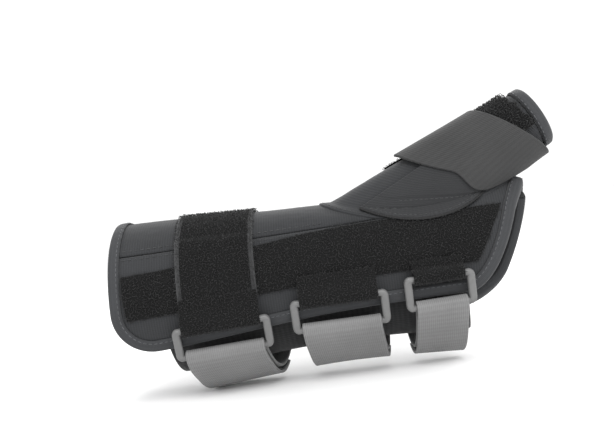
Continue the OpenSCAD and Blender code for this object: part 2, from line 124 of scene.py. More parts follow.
# %% [markdown]
# ## Cloth with a thickness
#
# A sheet of cloth is a grid of points on its middle layer. To give it a body, each point is
# pushed both ways along the surface's normal. The push fades to nothing at the edges on a
# quarter circle, so the edge is round and the two faces share their last row of points, which
# closes the mesh with no extra wall. Solidify could do this too, but then a rib or a sunk seam
# could not be added to the outer face alone.

# %% Helpers that make a closed piece of cloth
def steps(length, count, edge=0.8):
    """Shares from 0 to 1 along a side, closer together at its rounded ends."""
    near = np.array([0, 0.12, 0.45]) * edge / length
    return np.concatenate([near, np.linspace(edge / length, 1 - edge / length, count), 1 - near[::-1]])


def slope(grid, axis, wrap):
    if not wrap:
        return np.gradient(grid, axis=axis)
    body = grid[:, :-1]
    change = np.roll(body, -1, 1) - np.roll(body, 1, 1)
    return np.concatenate([change, change[:, :1]], 1)


def fullness(grid, axis, edge):
    """How much of its thickness the cloth has, from 0 at its edge to 1 inside."""
    step = np.linalg.norm(np.diff(grid, axis=axis), axis=2)
    run = np.concatenate([np.zeros_like(step.take([0], axis)), np.cumsum(step, axis)], axis)
    near = np.minimum(run, run.take([-1], axis) - run)
    return np.sqrt(1 - (1 - np.clip(near / edge, 0, 1)) ** 2)


def quads(ids):
    """The four corners of each cell in a grid of point numbers."""
    corners = [ids[:-1, :-1], ids[1:, :-1], ids[1:, 1:], ids[:-1, 1:]]
    return np.stack([corner.ravel() for corner in corners], 1)


def flat_grid(along_it, across_it):
    """Flat coordinates of a grid from those along it and across it."""
    return np.stack(np.meshgrid(along_it, across_it, indexing="ij"), -1)


def new_mesh(name, points, faces, uv, material):
    """A smooth mesh in metres, with a UV map in metres and its faces pointing out."""
    used, faces = np.unique(faces, return_inverse=True)
    faces = faces.reshape(-1, 4)
    points = points[used]
    a, b, c, d = (points[faces[:, k]] for k in range(4))
    volume = (np.cross(b, c) * a).sum() + (np.cross(c, d) * a).sum()
    if volume < 0:
        faces, uv = faces[:, ::-1], uv[:, ::-1]
    mesh = bpy.data.meshes.new(name)
    mesh.from_pydata((points * MM).tolist(), [], faces.tolist())
    layer = mesh.uv_layers.new(name="UVMap")
    layer.data.foreach_set("uv", (uv * MM).astype(np.float32).ravel())
    mesh.polygons.foreach_set("use_smooth", [True] * len(faces))
    mesh.materials.append(material)
    obj = bpy.data.objects.new(name, mesh)
    bpy.context.scene.collection.objects.link(obj)
    return obj, used


print("helpers for meshes are ready")

# %% [markdown]
# Now the piece of cloth itself. It also marks the faces of its outer side, where pile can grow,
# and takes note of the points that padding may move.

# %% A closed piece of cloth
def cloth(name, middle, thick, uv, material, edge=0.8, relief=0.0, wrap=False, loose=None):
    """A closed piece round a grid of middle points. relief stands the outer face proud."""
    normal = np.cross(slope(middle, 0, False), slope(middle, 1, wrap))
    normal /= np.maximum(np.linalg.norm(normal, axis=2, keepdims=True), 1e-9)
    full = fullness(middle, 0, edge)
    if not wrap:
        full = full * fullness(middle, 1, edge)
    half = thick / 2 * full
    outer = middle + normal * (half + relief * full)[..., None]
    inner = middle - normal * half[..., None]
    nu, nv = middle.shape[:2]
    own = np.arange(nu * nv).reshape(nu, nv)
    front, back = own.copy(), own + nu * nv
    rim = np.zeros((nu, nv), bool)
    rim[[0, -1]] = True
    if wrap:
        front[:, -1] = front[:, 0]
        back[:, -1] = back[:, 0]
    else:
        rim[:, [0, -1]] = True
    back[rim] = front[rim]

    faces = np.concatenate([quads(front), quads(back)[:, ::-1]])
    looks = np.concatenate([quads(own), quads(own)[:, ::-1]])
    points = np.concatenate([outer.reshape(-1, 3), inner.reshape(-1, 3)])
    obj, used = new_mesh(name, points, faces, np.asarray(uv).reshape(-1, 2)[looks], material)
    top = obj.data.attributes.new("top", "BOOLEAN", "FACE")
    top.data.foreach_set("value", [k < len(faces) // 2 for k in range(len(faces))])
    if loose is not None:
        held = np.ones(2 * nu * nv)
        held[:nu * nv] = 1 - loose.ravel()
        sewn = obj.vertex_groups.new(name="sewn")
        for k, weight in enumerate(held[used]):
            sewn.add([k], float(weight), "REPLACE")
    return obj


def plan(u_steps, v_steps):
    return np.meshgrid(u_steps, v_steps, indexing="ij")


WRIST_DEGREE = 0.53


def arm_uv(x, angle):
    """Flat coordinates of a place on the arm: length, and distance round at the wrist."""
    return np.stack([x, angle * WRIST_DEGREE], -1)


print("a degree at the wrist is about", round(float(per_degree(WRIST, 45.0)), 2), "mm")

# %% [markdown]
# ## Node trees in a few lines
#
# Materials and Geometry Nodes are both trees of nodes. One helper adds a node, sets what it is
# told and links what is already a socket, so each tree reads from top to bottom.

# %% A helper for nodes
def put(tree, kind, inputs=None, **settings):
    node = tree.nodes.new(kind)
    for key, value in settings.items():
        setattr(node, key, value)
    for key, value in (inputs or {}).items():
        if isinstance(value, bpy.types.NodeSocket):
            tree.links.new(value, node.inputs[key])
        else:
            node.inputs[key].default_value = value
    return node


def work_out(tree, operation, *values):
    """One Math node; values are numbers or sockets."""
    return put(tree, "ShaderNodeMath", dict(enumerate(values)), operation=operation).outputs[0]


def blend_colour(tree, factor, low, high):
    """A colour between two, by a factor from 0 to 1. The colours may be sockets."""
    node = put(tree, "ShaderNodeMix", {0: factor, 6: low, 7: high}, data_type="RGBA")
    return node.outputs[2]


def new_material(name):
    """(tree, shader) of an empty material whose shader is already joined to its output."""
    material = bpy.data.materials.new(name)
    material.use_nodes = True
    tree = material.node_tree
    tree.nodes.clear()
    shader = put(tree, "ShaderNodeBsdfPrincipled")
    put(tree, "ShaderNodeOutputMaterial", {"Surface": shader.outputs[0]})
    return material, tree, shader


def grey(value, blue=0.0):
    """A nearly neutral colour from a linear brightness."""
    return (value * (1 - blue * 0.5), value, value * (1 + blue), 1)


# %% [markdown]
# ## Cloth finishes
#
# Each cloth is a weave in its own flat coordinates: ribs are sine waves across the cloth, and
# finer waves cross them. Slow noise changes the colour a little from place to place, as dye and
# handling do, and fine noise breaks up the yarn. The same waves drive the bump, so light and
# colour agree. Sharp edges are painted paler, a painted highlight where they catch the light,
# worked out from how sharply the surface bends there.

# %% The woven and knitted cloths
def wave(tree, coordinate, pitch):
    """A wave from 0 to 1 along a coordinate in metres, one for each pitch in millimetres."""
    turned = work_out(tree, "MULTIPLY", coordinate, 2 * math.pi / (pitch * MM))
    return work_out(tree, "MULTIPLY_ADD", work_out(tree, "SINE", turned), 0.5, 0.5)


def woven(name, dark, light, ribs_u, ribs_v, depth, roughness=0.85, sheen=0.2, melange=0.5):
    """Cloth with ribs each so many millimetres across U, and finer ones across V."""
    material, tree, shader = new_material(name)
    place = put(tree, "ShaderNodeTexCoord")
    flat = put(tree, "ShaderNodeSeparateXYZ", {0: place.outputs["UV"]})
    rib = wave(tree, flat.outputs[0], ribs_u)
    cross = wave(tree, flat.outputs[1], ribs_v)
    yarn = put(tree, "ShaderNodeTexNoise",
        {"Vector": place.outputs["Object"], "Scale": 1400.0, "Detail": 3.0, "Roughness": 0.7})
    slow = put(tree, "ShaderNodeTexNoise",
        {"Vector": place.outputs["Object"], "Scale": 45.0, "Detail": 2.0})
    weave = work_out(tree, "MULTIPLY_ADD", cross, 0.3, work_out(tree, "MULTIPLY", rib, 0.7))
    fleck = work_out(tree, "MULTIPLY_ADD", yarn.outputs[0], melange, work_out(tree, "MULTIPLY", weave, 0.5))
    worn = work_out(tree, "MULTIPLY_ADD", slow.outputs[0], 0.5, -0.15)
    colour = blend_colour(tree, work_out(tree, "ADD", fleck, worn), dark, light)
    bend = put(tree, "ShaderNodeNewGeometry").outputs["Pointiness"]
    # Sharp bends are painted paler: a painted highlight along the edges, where they catch the light.
    edge_highlight = put(tree, "ShaderNodeMapRange",
        {"Value": bend, "From Min": 0.52, "From Max": 0.62, "To Max": 0.45})
    tree.links.new(blend_colour(tree, edge_highlight.outputs[0], colour, light), shader.inputs["Base Color"])
    height = work_out(tree, "MULTIPLY_ADD", yarn.outputs[0], 0.35, weave)
    bump = put(tree, "ShaderNodeBump", {"Height": height, "Strength": 0.6, "Distance": depth * MM})
    tree.links.new(bump.outputs[0], shader.inputs["Normal"])
    rough = work_out(tree, "MULTIPLY_ADD", yarn.outputs[0], 0.12, roughness - 0.06)
    tree.links.new(rough, shader.inputs["Roughness"])
    shader.inputs["Sheen Weight"].default_value = sheen
    shader.inputs["Sheen Roughness"].default_value = 0.5
    shader.inputs["Specular IOR Level"].default_value = 0.25
    return material


LAMINATE = woven("laminate", grey(0.012, 0.07), grey(0.033, 0.08), 1.25, 0.7, 0.12, sheen=0.12)
LEAF_CLOTH = woven("leaf laminate", grey(0.011, 0.05), grey(0.03, 0.06), 1.25, 0.7, 0.1, sheen=0.1)
BRUSHED = woven("brushed lining", grey(0.01, 0.04), grey(0.026, 0.05), 1.9, 1.1, 0.15, 0.95, 0.3)
TONGUE_CLOTH = woven("ribbed tongue", grey(0.007, 0.03), grey(0.024, 0.04), 2.6, 1.5, 0.3, 0.9, 0.15)
TAPE = woven("binding tape", grey(0.016, 0.06), grey(0.044, 0.08), 0.6, 1.6, 0.08, 0.75, 0.1)
WEBBING = woven("grey webbing", grey(0.095, 0.0), grey(0.205, 0.0), 0.95, 2.4, 0.14, 0.85, 0.08)
DARK_WEBBING = woven("dark webbing", grey(0.02, 0.0), grey(0.045, 0.01), 0.85, 2.2, 0.12, 0.85, 0.06)
PILE_GROUND = woven("pile ground", grey(0.002, 0.02), grey(0.007, 0.02), 1.1, 1.1, 0.1, 0.95, 0.03)
# The bare selvedge is painted far paler than the pile ground: a painted highlight where the cut edges catch
# the light.
SELVEDGE_HIGHLIGHT = woven("pile selvedge painted highlight", grey(0.02, 0.02), grey(0.05, 0.03), 0.8, 0.8, 0.1, 0.9, 0.1)
HOOK_TAPE = woven("hook tape", grey(0.004, 0.02), grey(0.014, 0.03), 1.3, 1.3, 0.4, 0.6, 0.0)
print(len(bpy.data.materials), "materials so far")

# %% [markdown]
# Thread and pile yarn are too thin for a weave. Their colour varies from one stitch or one loop
# to the next by a random shade that Geometry Nodes store on each, and a fine twist runs in the
# bump. The plastic is satin, slightly mottled by the mould, and the stays are rolled metal with
# a brushed grain along them.

# %% Yarn, plastic and metal
def yarn_material(name, dark, light, roughness=0.8, sheen=0.15):
    material, tree, shader = new_material(name)
    shade = put(tree, "ShaderNodeAttribute", attribute_name="shade").outputs["Fac"]
    place = put(tree, "ShaderNodeTexCoord")
    twist = put(tree, "ShaderNodeTexNoise",
        {"Vector": place.outputs["Object"], "Scale": 2600.0, "Detail": 2.0})
    lift = work_out(tree, "MULTIPLY_ADD", twist.outputs[0], 0.4, work_out(tree, "MULTIPLY", shade, 0.8))
    tree.links.new(blend_colour(tree, lift, dark, light), shader.inputs["Base Color"])
    bump = put(tree, "ShaderNodeBump", {"Height": twist.outputs[0], "Strength": 0.5, "Distance": 0.05 * MM})
    tree.links.new(bump.outputs[0], shader.inputs["Normal"])
    rough = work_out(tree, "MULTIPLY_ADD", twist.outputs[0], 0.2, roughness - 0.1)
    tree.links.new(rough, shader.inputs["Roughness"])
    shader.inputs["Sheen Weight"].default_value = sheen
    return material


def solid_material(name, low, high, grain, stretch, roughness, metallic=0.0, depth=0.02):
    """Plastic or metal, with noise drawn out along X by stretch."""
    material, tree, shader = new_material(name)
    place = put(tree, "ShaderNodeTexCoord")
    drawn = put(tree, "ShaderNodeMapping",
        {"Vector": place.outputs["Object"], "Scale": (1 / stretch, 1, 1)})
    fine = put(tree, "ShaderNodeTexNoise", {"Vector": drawn.outputs[0], "Scale": grain, "Detail": 4.0})
    tree.links.new(blend_colour(tree, fine.outputs[0], low, high), shader.inputs["Base Color"])
    rough = work_out(tree, "MULTIPLY_ADD", fine.outputs[0], 0.25, roughness - 0.12)
    tree.links.new(rough, shader.inputs["Roughness"])
    bump = put(tree, "ShaderNodeBump", {"Height": fine.outputs[0], "Strength": 0.4, "Distance": depth * MM})
    tree.links.new(bump.outputs[0], shader.inputs["Normal"])
    shader.inputs["Metallic"].default_value = metallic
    return material


PILE_YARN = yarn_material("pile yarn", grey(0.002, 0.01), grey(0.024, 0.02), sheen=0.03)
THREAD = yarn_material("sewing thread", grey(0.012, 0.05), grey(0.034, 0.06), 0.6)
PALE_THREAD = yarn_material("pale thread", grey(0.034, 0.08), grey(0.07, 0.08), 0.6)
PLASTIC = solid_material("moulded plastic", grey(0.1, 0.0), grey(0.145, 0.0), 420.0, 1.0, 0.45)
METAL = solid_material("brushed aluminium", grey(0.55, 0.02), grey(0.72, 0.02), 900.0, 14.0, 0.36, 1.0)
print(len(bpy.data.materials), "materials")

# %% [markdown]
# ## Repeats made with Geometry Nodes
#
# Stitches, pile loops and stray fibres are the same small thing hundreds of times. A Geometry
# Nodes tree places them, and changing one number changes them all. The tree's result is then
# copied to a plain mesh, because a finished piece carries no live instances.

# %% Helpers to build and run a tree
def new_tree(name, sizes):
    """A tree with a geometry input and output and a named float input for each size."""
    tree = bpy.data.node_groups.new(name, "GeometryNodeTree")
    face = tree.interface
    face.new_socket("Geometry", in_out="INPUT", socket_type="NodeSocketGeometry")
    for label, value in sizes.items():
        face.new_socket(label, in_out="INPUT", socket_type="NodeSocketFloat").default_value = value
    face.new_socket("Geometry", in_out="OUTPUT", socket_type="NodeSocketGeometry")
    return tree, put(tree, "NodeGroupInput").outputs


def close_tree(tree, instances, material):
    """Realize Instances and Set Material, which every tree here ends in."""
    real = put(tree, "GeometryNodeRealizeInstances", {0: instances})
    smooth = put(tree, "GeometryNodeSetShadeSmooth", {0: real.outputs[0]})
    done = put(tree, "GeometryNodeSetMaterial", {0: smooth.outputs[0], "Material": material})
    put(tree, "NodeGroupOutput", {0: done.outputs[0]})


def grown(name, source, tree, **sizes):
    """Runs a tree on an object and returns the result as a plain mesh; the source is removed."""
    modifier = source.modifiers.new("grow", "NODES")
    modifier.node_group = tree
    for item in tree.interface.items_tree:
        if item.in_out == "INPUT" and item.name in sizes:
            modifier[item.identifier] = sizes[item.name]
    bpy.context.view_layer.update()
    graph = bpy.context.evaluated_depsgraph_get()
    mesh = bpy.data.meshes.new_from_object(source.evaluated_get(graph))
    mesh.name = name
    obj = bpy.data.objects.new(name, mesh)
    bpy.context.scene.collection.objects.link(obj)
    bpy.data.objects.remove(source)
    return obj


def line_object(lines):
    """One object that holds several lines of points, given in millimetres."""
    points = np.concatenate(lines)
    edges, first = [], 0
    for line in lines:
        edges += [(first + k, first + k + 1) for k in range(len(line) - 1)]
        first += len(line)
    mesh = bpy.data.meshes.new("lines")
    mesh.from_pydata((points * MM).tolist(), edges, [])
    obj = bpy.data.objects.new("lines", mesh)
    bpy.context.scene.collection.objects.link(obj)
    return obj


# %% [markdown]
# A stitch is a short fat bead of thread that lies along its seam, so each one turns to follow
# the line. A pile loop is half a ring of yarn that stands on its ground cloth and leans its own
# way. Poisson points keep the loops from falling on one another.

# %% The stitch tree
def random_float(tree, low, high, seed):
    node = put(tree, "FunctionNodeRandomValue", {2: low, 3: high, 8: seed}, data_type="FLOAT")
    return node.outputs[1]


def shaded(tree, instances, seed):
    """Stores a random shade on every instance, for the yarn's colour."""
    node = put(tree, "GeometryNodeStoreNamedAttribute", {0: instances, "Name": "shade"},
        data_type="FLOAT", domain="INSTANCE")
    tree.links.new(random_float(tree, 0.0, 1.0, seed), node.inputs["Value"])
    return node.outputs[0]


def stitch_tree(name, material):
    tree, sizes = new_tree(name, {"Spacing": 2.6 * MM, "Length": 1.9 * MM, "Thickness": 0.45 * MM})
    line = put(tree, "GeometryNodeMeshToCurve", {0: sizes["Geometry"]})
    points = put(tree, "GeometryNodeCurveToPoints",
        {0: line.outputs[0], "Length": sizes["Spacing"]}, mode="LENGTH")
    bead = put(tree, "GeometryNodeMeshUVSphere", {"Segments": 6, "Rings": 4, "Radius": 0.5})
    turn = put(tree, "FunctionNodeAlignRotationToVector", {"Vector": points.outputs["Tangent"]}, axis="Z")
    size = put(tree, "ShaderNodeCombineXYZ",
        {0: sizes["Thickness"], 1: sizes["Thickness"], 2: sizes["Length"]})
    placed = put(tree, "GeometryNodeInstanceOnPoints", {"Points": points.outputs[0],
        "Instance": bead.outputs[0], "Rotation": turn.outputs[0], "Scale": size.outputs[0]})
    close_tree(tree, shaded(tree, placed.outputs[0], 3), material)
    return tree


print("the stitch tree is ready")

# %% [markdown]
# A pile loop is half a ring of yarn. It grows only on faces marked as the outer side.

# %% The pile tree
def pile_tree(name, material):
    tree, sizes = new_tree(name, {"Spacing": 0.85 * MM, "Height": 1.0 * MM, "Yarn": 0.13 * MM})
    top = put(tree, "GeometryNodeInputNamedAttribute", {"Name": "top"}, data_type="BOOLEAN")
    points = put(tree, "GeometryNodeDistributePointsOnFaces", {0: sizes["Geometry"],
        "Selection": top.outputs["Attribute"], "Distance Min": sizes["Spacing"],
        "Density Max": 2.4e6, "Seed": 11}, distribute_method="POISSON")
    arch = put(tree, "GeometryNodeCurveArc", {"Resolution": 6, "Radius": 0.5, "Sweep Angle": math.pi})
    round_yarn = put(tree, "GeometryNodeCurvePrimitiveCircle", {"Resolution": 3, "Radius": sizes["Yarn"]})
    slim = put(tree, "ShaderNodeCombineXYZ", {0: work_out(tree, "MULTIPLY", sizes["Height"], 0.9),
        1: work_out(tree, "MULTIPLY", sizes["Height"], 2.0), 2: sizes["Height"]})
    shaped = put(tree, "GeometryNodeTransform", {0: arch.outputs[0], "Scale": slim.outputs[0]})
    stood = put(tree, "GeometryNodeTransform", {0: shaped.outputs[0], "Rotation": (math.pi / 2, 0, 0)})
    loop = put(tree, "GeometryNodeCurveToMesh",
        {"Curve": stood.outputs[0], "Profile Curve": round_yarn.outputs[0]})
    lean = put(tree, "FunctionNodeRandomValue", {0: (-0.5, -0.5, 0.0), 1: (0.5, 0.5, 6.28), 8: 5},
        data_type="FLOAT_VECTOR")
    lean = put(tree, "FunctionNodeEulerToRotation", {0: lean.outputs[0]})
    turn = put(tree, "FunctionNodeRotateRotation",
        {0: points.outputs["Rotation"], 1: lean.outputs[0]}, rotation_space="LOCAL")
    placed = put(tree, "GeometryNodeInstanceOnPoints", {"Points": points.outputs[0],
        "Instance": loop.outputs[0], "Rotation": turn.outputs[0],
        "Scale": random_float(tree, 0.7, 1.2, 7)})
    close_tree(tree, shaded(tree, placed.outputs[0], 9), material)
    return tree


print("the pile tree is ready")

# %% [markdown]
# Three trees are enough: dark stitches, paler ones on the tapes, and loops.

# %% Trees in use, and what they sew and cover
STITCHES = stitch_tree("stitches", THREAD)
PALE_STITCHES = stitch_tree("pale stitches", PALE_THREAD)
LOOPS = pile_tree("pile loops", PILE_YARN)
print("trees", [tree.name for tree in bpy.data.node_groups])


def stitched(name, lines, body, tree=None, **sizes):
    """Sews along lines of points, and gives the stitches to a body."""
    obj = grown(name, line_object(lines), tree or STITCHES, **{k: v * MM for k, v in sizes.items()})
    if body:
        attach(obj, body)
    return obj


def leave_bare(obj, middle, half):
    """Keeps the pile off a piece's edges, beyond half mm each way, and shows them as bare selvedge painted
    paler, a painted highlight where the edges catch the light.
    """
    obj.data.materials.append(SELVEDGE_HIGHLIGHT)
    top = obj.data.attributes["top"].data
    for face in obj.data.polygons:
        if abs(face.center.x / MM - middle) > half:
            top[face.index].value = False
            face.material_index = 1


def looped(base, body, **sizes):
    """Covers a ground cloth's outer face with pile, as a second piece beside it."""
    copy = bpy.data.objects.new("ground", base.data.copy())
    bpy.context.scene.collection.objects.link(copy)
    obj = grown(base.name + "_loops", copy, LOOPS, **{k: v * MM for k, v in sizes.items()})
    if body:
        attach(obj, body)
    print(obj.name, len(obj.data.polygons), "faces")
    return obj


# %% [markdown]
# ## Padding by simulation
#
# The panels are foam between two cloths. Sewn down at their edges they swell in between, and
# that gentle swell is hard to draw and easy to simulate: the outer face is a cloth with air
# pressure behind it, and the points of the inner face and the seams are pinned. The movement is
# capped, because foam only gives so far.

# %% A helper that swells a piece
def places(mesh):
    flat = np.zeros(len(mesh.vertices) * 3, np.float32)
    mesh.vertices.foreach_get("co", flat)
    return flat.reshape(-1, 3).astype(float)


def puff(obj, cap, pressure=4.0):
    """Swells a piece against its sewn points, by no more than cap millimetres."""
    before = places(obj.data)
    modifier = obj.modifiers.new("padding", "CLOTH")
    settings = modifier.settings
    settings.vertex_group_mass = "sewn"
    settings.mass = 0.002
    settings.use_pressure = True
    settings.uniform_pressure_force = pressure
    settings.tension_stiffness = 3
    settings.compression_stiffness = 3
    settings.shear_stiffness = 2
    settings.bending_stiffness = 0.02
    settings.effector_weights.gravity = 0
    modifier.collision_settings.use_collision = False
    modifier.point_cache.frame_start = 1
    modifier.point_cache.frame_end = 20
    for moment in range(1, 21):
        bpy.context.scene.frame_set(moment)
    graph = bpy.context.evaluated_depsgraph_get()
    after = places(obj.evaluated_get(graph).data)
    move = after - before
    far = np.linalg.norm(move, axis=1, keepdims=True)
    move *= np.minimum(1, cap * MM / np.maximum(far, 1e-9))
    obj.modifiers.remove(modifier)
    obj.data.vertices.foreach_set("co", (before + move).astype(np.float32).ravel())
    obj.data.update()
    obj.vertex_groups.clear()
    bpy.context.scene.frame_set(1)
    print(obj.name, "wanted to swell", round(far.max() / MM, 2), "mm")


def dress(obj, body, slot, *nodes):
    """Gives a finished piece its body and hides the plain solids that it stands for. The slot is not used.
    """
    if body:
        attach(obj, body)
    if nodes:
        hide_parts(*nodes)
    return obj


# %% [markdown]
# ## The panels
#
# The back panel covers the back of the forearm and hand, and the radial panel continues it over
# the thumb side, up to the fold where the front flap begins. Their outlines are curves of angle
# against length: the long seam, the rounded corner at the elbow end, the slanted end at the
# fingers and the oval cut for the thumb. A panel is one grid stretched between its outlines.

# %% Outlines of the panels
HOLE_X, FOLD, FRONT_TOP, FRONT_LOW, CORNER = 155.0, 125.0, 128.0, 222.0, 20.0


def low_edge(x):
    return mix(-27, -18, ease(x / LOW_END))


def seam(x):
    return mix(40, 47, ease(x / HOLE_X))


def hole_rise(x):
    """Half the thumb opening's width in degrees, at a length."""
    return 44 * np.sqrt(np.clip(1 - ((x - HOLE_X) / 49) ** 2, 0, None))


def back_top(x):
    return np.where(x < HOLE_X, seam(x), np.clip(90 - hole_rise(x), seam(x), 70))


def rounded_corner(t):
    return CORNER * (1 - np.sqrt(1 - np.clip(1 - t, 0, 1) ** 2))


def back_spot(u, v):
    r = v * v * (3 - v) / 2
    x = mix(rounded_corner(r / 0.42), mix(LOW_END, WEB, r ** 0.6), u)
    return x, mix(low_edge(x), back_top(x), r)


def radial_spot(u, v):
    side = mix(seam(60) + 0.7, FOLD, v)
    x = (HOLE_X - 49 * np.sqrt(np.clip(1 - ((90 - side) / 44) ** 2, 0, None))) * u
    return x, mix(seam(x) + 0.7, FOLD, v)


def front_spot(u, v, top=FRONT_TOP):
    near = rounded_corner(1 - (v - 0.7) / 0.3)
    x = mix(near, PALM_END - 26 * v ** 2 - near, u)
    return x, mix(np.maximum(top, 90 + hole_rise(x)), FRONT_LOW, v)


print("the seam lies at", round(float(seam(80.0)), 1), "degrees by the middle")

# %% [markdown]
# Cloth is never quite flat. A few slow crossing waves make the small unevenness that a hand
# would feel, and a panel adds them to its outer face.

# %% A panel
def smooth_noise(x, y, size, seed):
    """Slow bumps from -1 to 1 made of a few crossing waves, the same on every run."""
    turn = np.random.default_rng(seed).uniform(0, 2 * math.pi, 8)
    total = 0
    for k in range(4):
        heading = turn[k]
        wave_x = (x * math.cos(heading) + y * math.sin(heading)) * 2 * math.pi / (size * (1 + 0.37 * k))
        total = total + np.sin(wave_x + turn[k + 4])
    return total / 3


def panel(name, spot, low, high, count_u, count_v, material, slot, body, node, swell=0.0, seams=None):
    """A layer of cloth over the arm. swell is how far its padding may rise, in millimetres."""
    u, v = plan(steps(190, count_u), steps(60, count_v))
    x, angle = spot(u, v)
    middle = skin(x, angle, (low + high) / 2)
    relief = 0.12 * smooth_noise(x, angle * 0.6, 26, len(name))
    loose = None
    if swell:
        loose = ease(fullness(middle, 0, 9.0)) * ease(fullness(middle, 1, 9.0))
        if seams is not None:
            loose = loose * seams(x, angle)
    obj = cloth(name + "_cloth", middle, high - low, arm_uv(x, angle), material, edge=1.7, relief=relief,
        loose=loose)
    if swell:
        puff(obj, swell)
    return dress(obj, body, slot, node)


# %% Back and radial panels
def beside_the_band(x, angle):
    """The pile band is sewn down, so the panel can't swell along it."""
    start = mix(-4, 2, ease(x / WRIST))
    return 1 - ease((angle - start + 8) / 6) * ease((start + 55 - angle) / 6)


back_panel = panel("back_panel", back_spot, 2.0, 4.0, 80, 40, LAMINATE, "laminate", "splint",
    "back_panel", 1.0, beside_the_band)
radial_panel = panel("radial_panel", radial_spot, 2.0, 4.0, 50, 40, LAMINATE, "laminate", "splint",
    "radial_panel", 1.0)

# %% [markdown]
# The front panel closes the splint over the palm. It opens about a fold on the thumb side, where
# the real foam bends over a strip.

# %% Front panel
def hinge_place(angle, out=3.0):
    """A point half way along the fold, at an angle round the arm, in metres."""
    return tuple(skin(80.0, angle, out) * MM)


front_panel = panel("front_panel", lambda u, v: front_spot(u, v, FOLD + 0.4), 2.0, 4.0, 80, 40,
    LAMINATE, "laminate", None, "front_panel", 1.0)
hinge_place(FOLD)
hinge_place(FOLD + 12)
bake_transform(front_panel)

# %% [markdown]
# Each panel has a soft brushed lining against the skin. A lining is one flat cut of cloth that
# the arm stretches into a curve, so the size and area of its flat cut are printed.

# %% Linings and the tongue
def cut_size(grid):
    """Width, length and area of a flat cut, in metres, by adding up a grid's small cells."""
    a, b = np.diff(grid, axis=0)[:, :-1], np.diff(grid, axis=1)[:-1]
    area = np.linalg.norm(np.cross(a, b), axis=2).sum()
    wide = np.linalg.norm(b, axis=2).sum(1).max()
    long = max(np.linalg.norm(a, axis=2).sum(0).max(), np.ptp(grid[..., 0]))
    return (wide * MM, long * MM), area * MM * MM


def stretched(obj, grid):
    """Prints the size and area of a lining's flat cut, from a grid over the arm."""
    flat, area = cut_size(grid)
    sides = [round(side / MM) for side in flat]
    print(obj.name, "cut", sides[0], "by", sides[1], "mm, area", round(area * 1e4, 1), "cm2")


def lining(name, spot, body, low=0.0, high=1.8, material=BRUSHED, count=40):
    obj = panel(name, spot, low, high, count, count, material, "lining", body, name)
    shares = np.linspace(0, 1, 60)
    stretched(obj, skin(*spot(*plan(shares, shares)), 0.9))
    if body is None:
        hinge_place(FOLD, 1.0)
        hinge_place(FOLD + 12, 1.0)
        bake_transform(obj)
    return obj


def tongue_spot(u, v):
    x = mix(mix(27, 22, v), LOW_END + 4 - 8 * v, u)
    return x, mix(-140, mix(-16, -9, ease((x - 142) / 16)), v)


lining("back_lining", back_spot, "splint")
lining("radial_lining", radial_spot, "splint")
lining("front_lining", front_spot, None)
lining("ulnar_tongue", tongue_spot, "splint", -3.1, -1.3, TONGUE_CLOTH, 60)

# %% [markdown]
# ## Binding
#
# One folded tape closes the raw edges of panel and lining. Its section is a letter U laid on
# its side: a lip inside, a round fold past the edge and a lip outside. The section is carried
# along the outline, square to it on the surface. A row of stitches holds both lips together and
# puckers the tape a little at every stitch.

# %% Folded binding tapes
FOLD_SECTION = np.array([(5, -0.6), (2.6, -0.6), (0.7, -0.58), (0.0, -0.35), (-0.42, 0.3), (-0.58, 1.2),
    (-0.6, 2.0), (-0.58, 2.8), (-0.42, 3.7), (0.0, 4.36), (0.7, 4.6), (2.2, 4.66), (3.6, 4.6), (5, 4.6)])
STITCH_IN = 3.7


def edge_frame(path, count, turn):
    """Points along an outline, and the step of one millimetre into the cloth from each."""
    s = np.linspace(0, 1, count)
    x, angle = path(s)
    before, after = path(np.clip(s - 0.01, 0, 1)), path(np.clip(s + 0.01, 0, 1))
    k = per_degree(x, angle)
    dx, da = after[0] - before[0], (after[1] - before[1]) * k
    size = np.hypot(dx, da)
    return x, angle, -turn * da / size, turn * dx / size / k


def binding(name, path, count, turn, body):
    x, angle, in_x, in_a = (part[:, None] for part in edge_frame(path, count, turn))
    inward, out = FOLD_SECTION[:, 0], FOLD_SECTION[:, 1]
    grid = skin(x + in_x * inward, angle + in_a * inward, out)
    run = np.concatenate([[0], np.cumsum(np.linalg.norm(np.diff(grid[:, -1], axis=0), axis=1))])
    across = np.concatenate([[0], np.cumsum(np.hypot(*np.diff(FOLD_SECTION, axis=0).T))])
    uv = np.stack(np.broadcast_arrays(run[:, None], across), -1)
    pucker = 0.09 * np.cos(2 * math.pi * run / 5.2)[:, None] * np.exp(-((inward - STITCH_IN) / 1.6) ** 2)
    obj = cloth(name + "_tape", grid, 0.75, uv, TAPE, edge=0.4, relief=pucker * (out > 2))
    dress(obj, body, "binding_tape", name)
    line = skin(x + in_x * STITCH_IN, angle + in_a * STITCH_IN, 5.02)[2:-2, 0]
    stitched(name + "_stitches", [line], body, PALE_STITCHES)
    return obj


def outline(s, spot, parts, x, angle):
    """Places along an outline. Each part has its shares of s, and where it runs on a panel."""
    for first, last, u0, u1, v0, v1 in parts:
        t = np.clip((s - first) / (last - first), 0, 1)
        part_x, part_angle = spot(mix(u0, u1, t), mix(v0, v1, t))
        x, angle = np.where(s >= first, part_x, x), np.where(s >= first, part_angle, angle)
    return x, angle


def back_outline(s):
    """Round the elbow end from the fold, then the lower edge, then the finger end."""
    parts = ((0.3, 0.5, 0, 0, 1, 0), (0.5, 0.8, 0, 1, 0, 0), (0.8, 1.0, 1, 1, 0, 0.97))
    elbow = mix(FOLD - 2, seam(0.0), np.clip(s / 0.3, 0, 1))
    return outline(s, back_spot, parts, np.zeros_like(s), elbow)


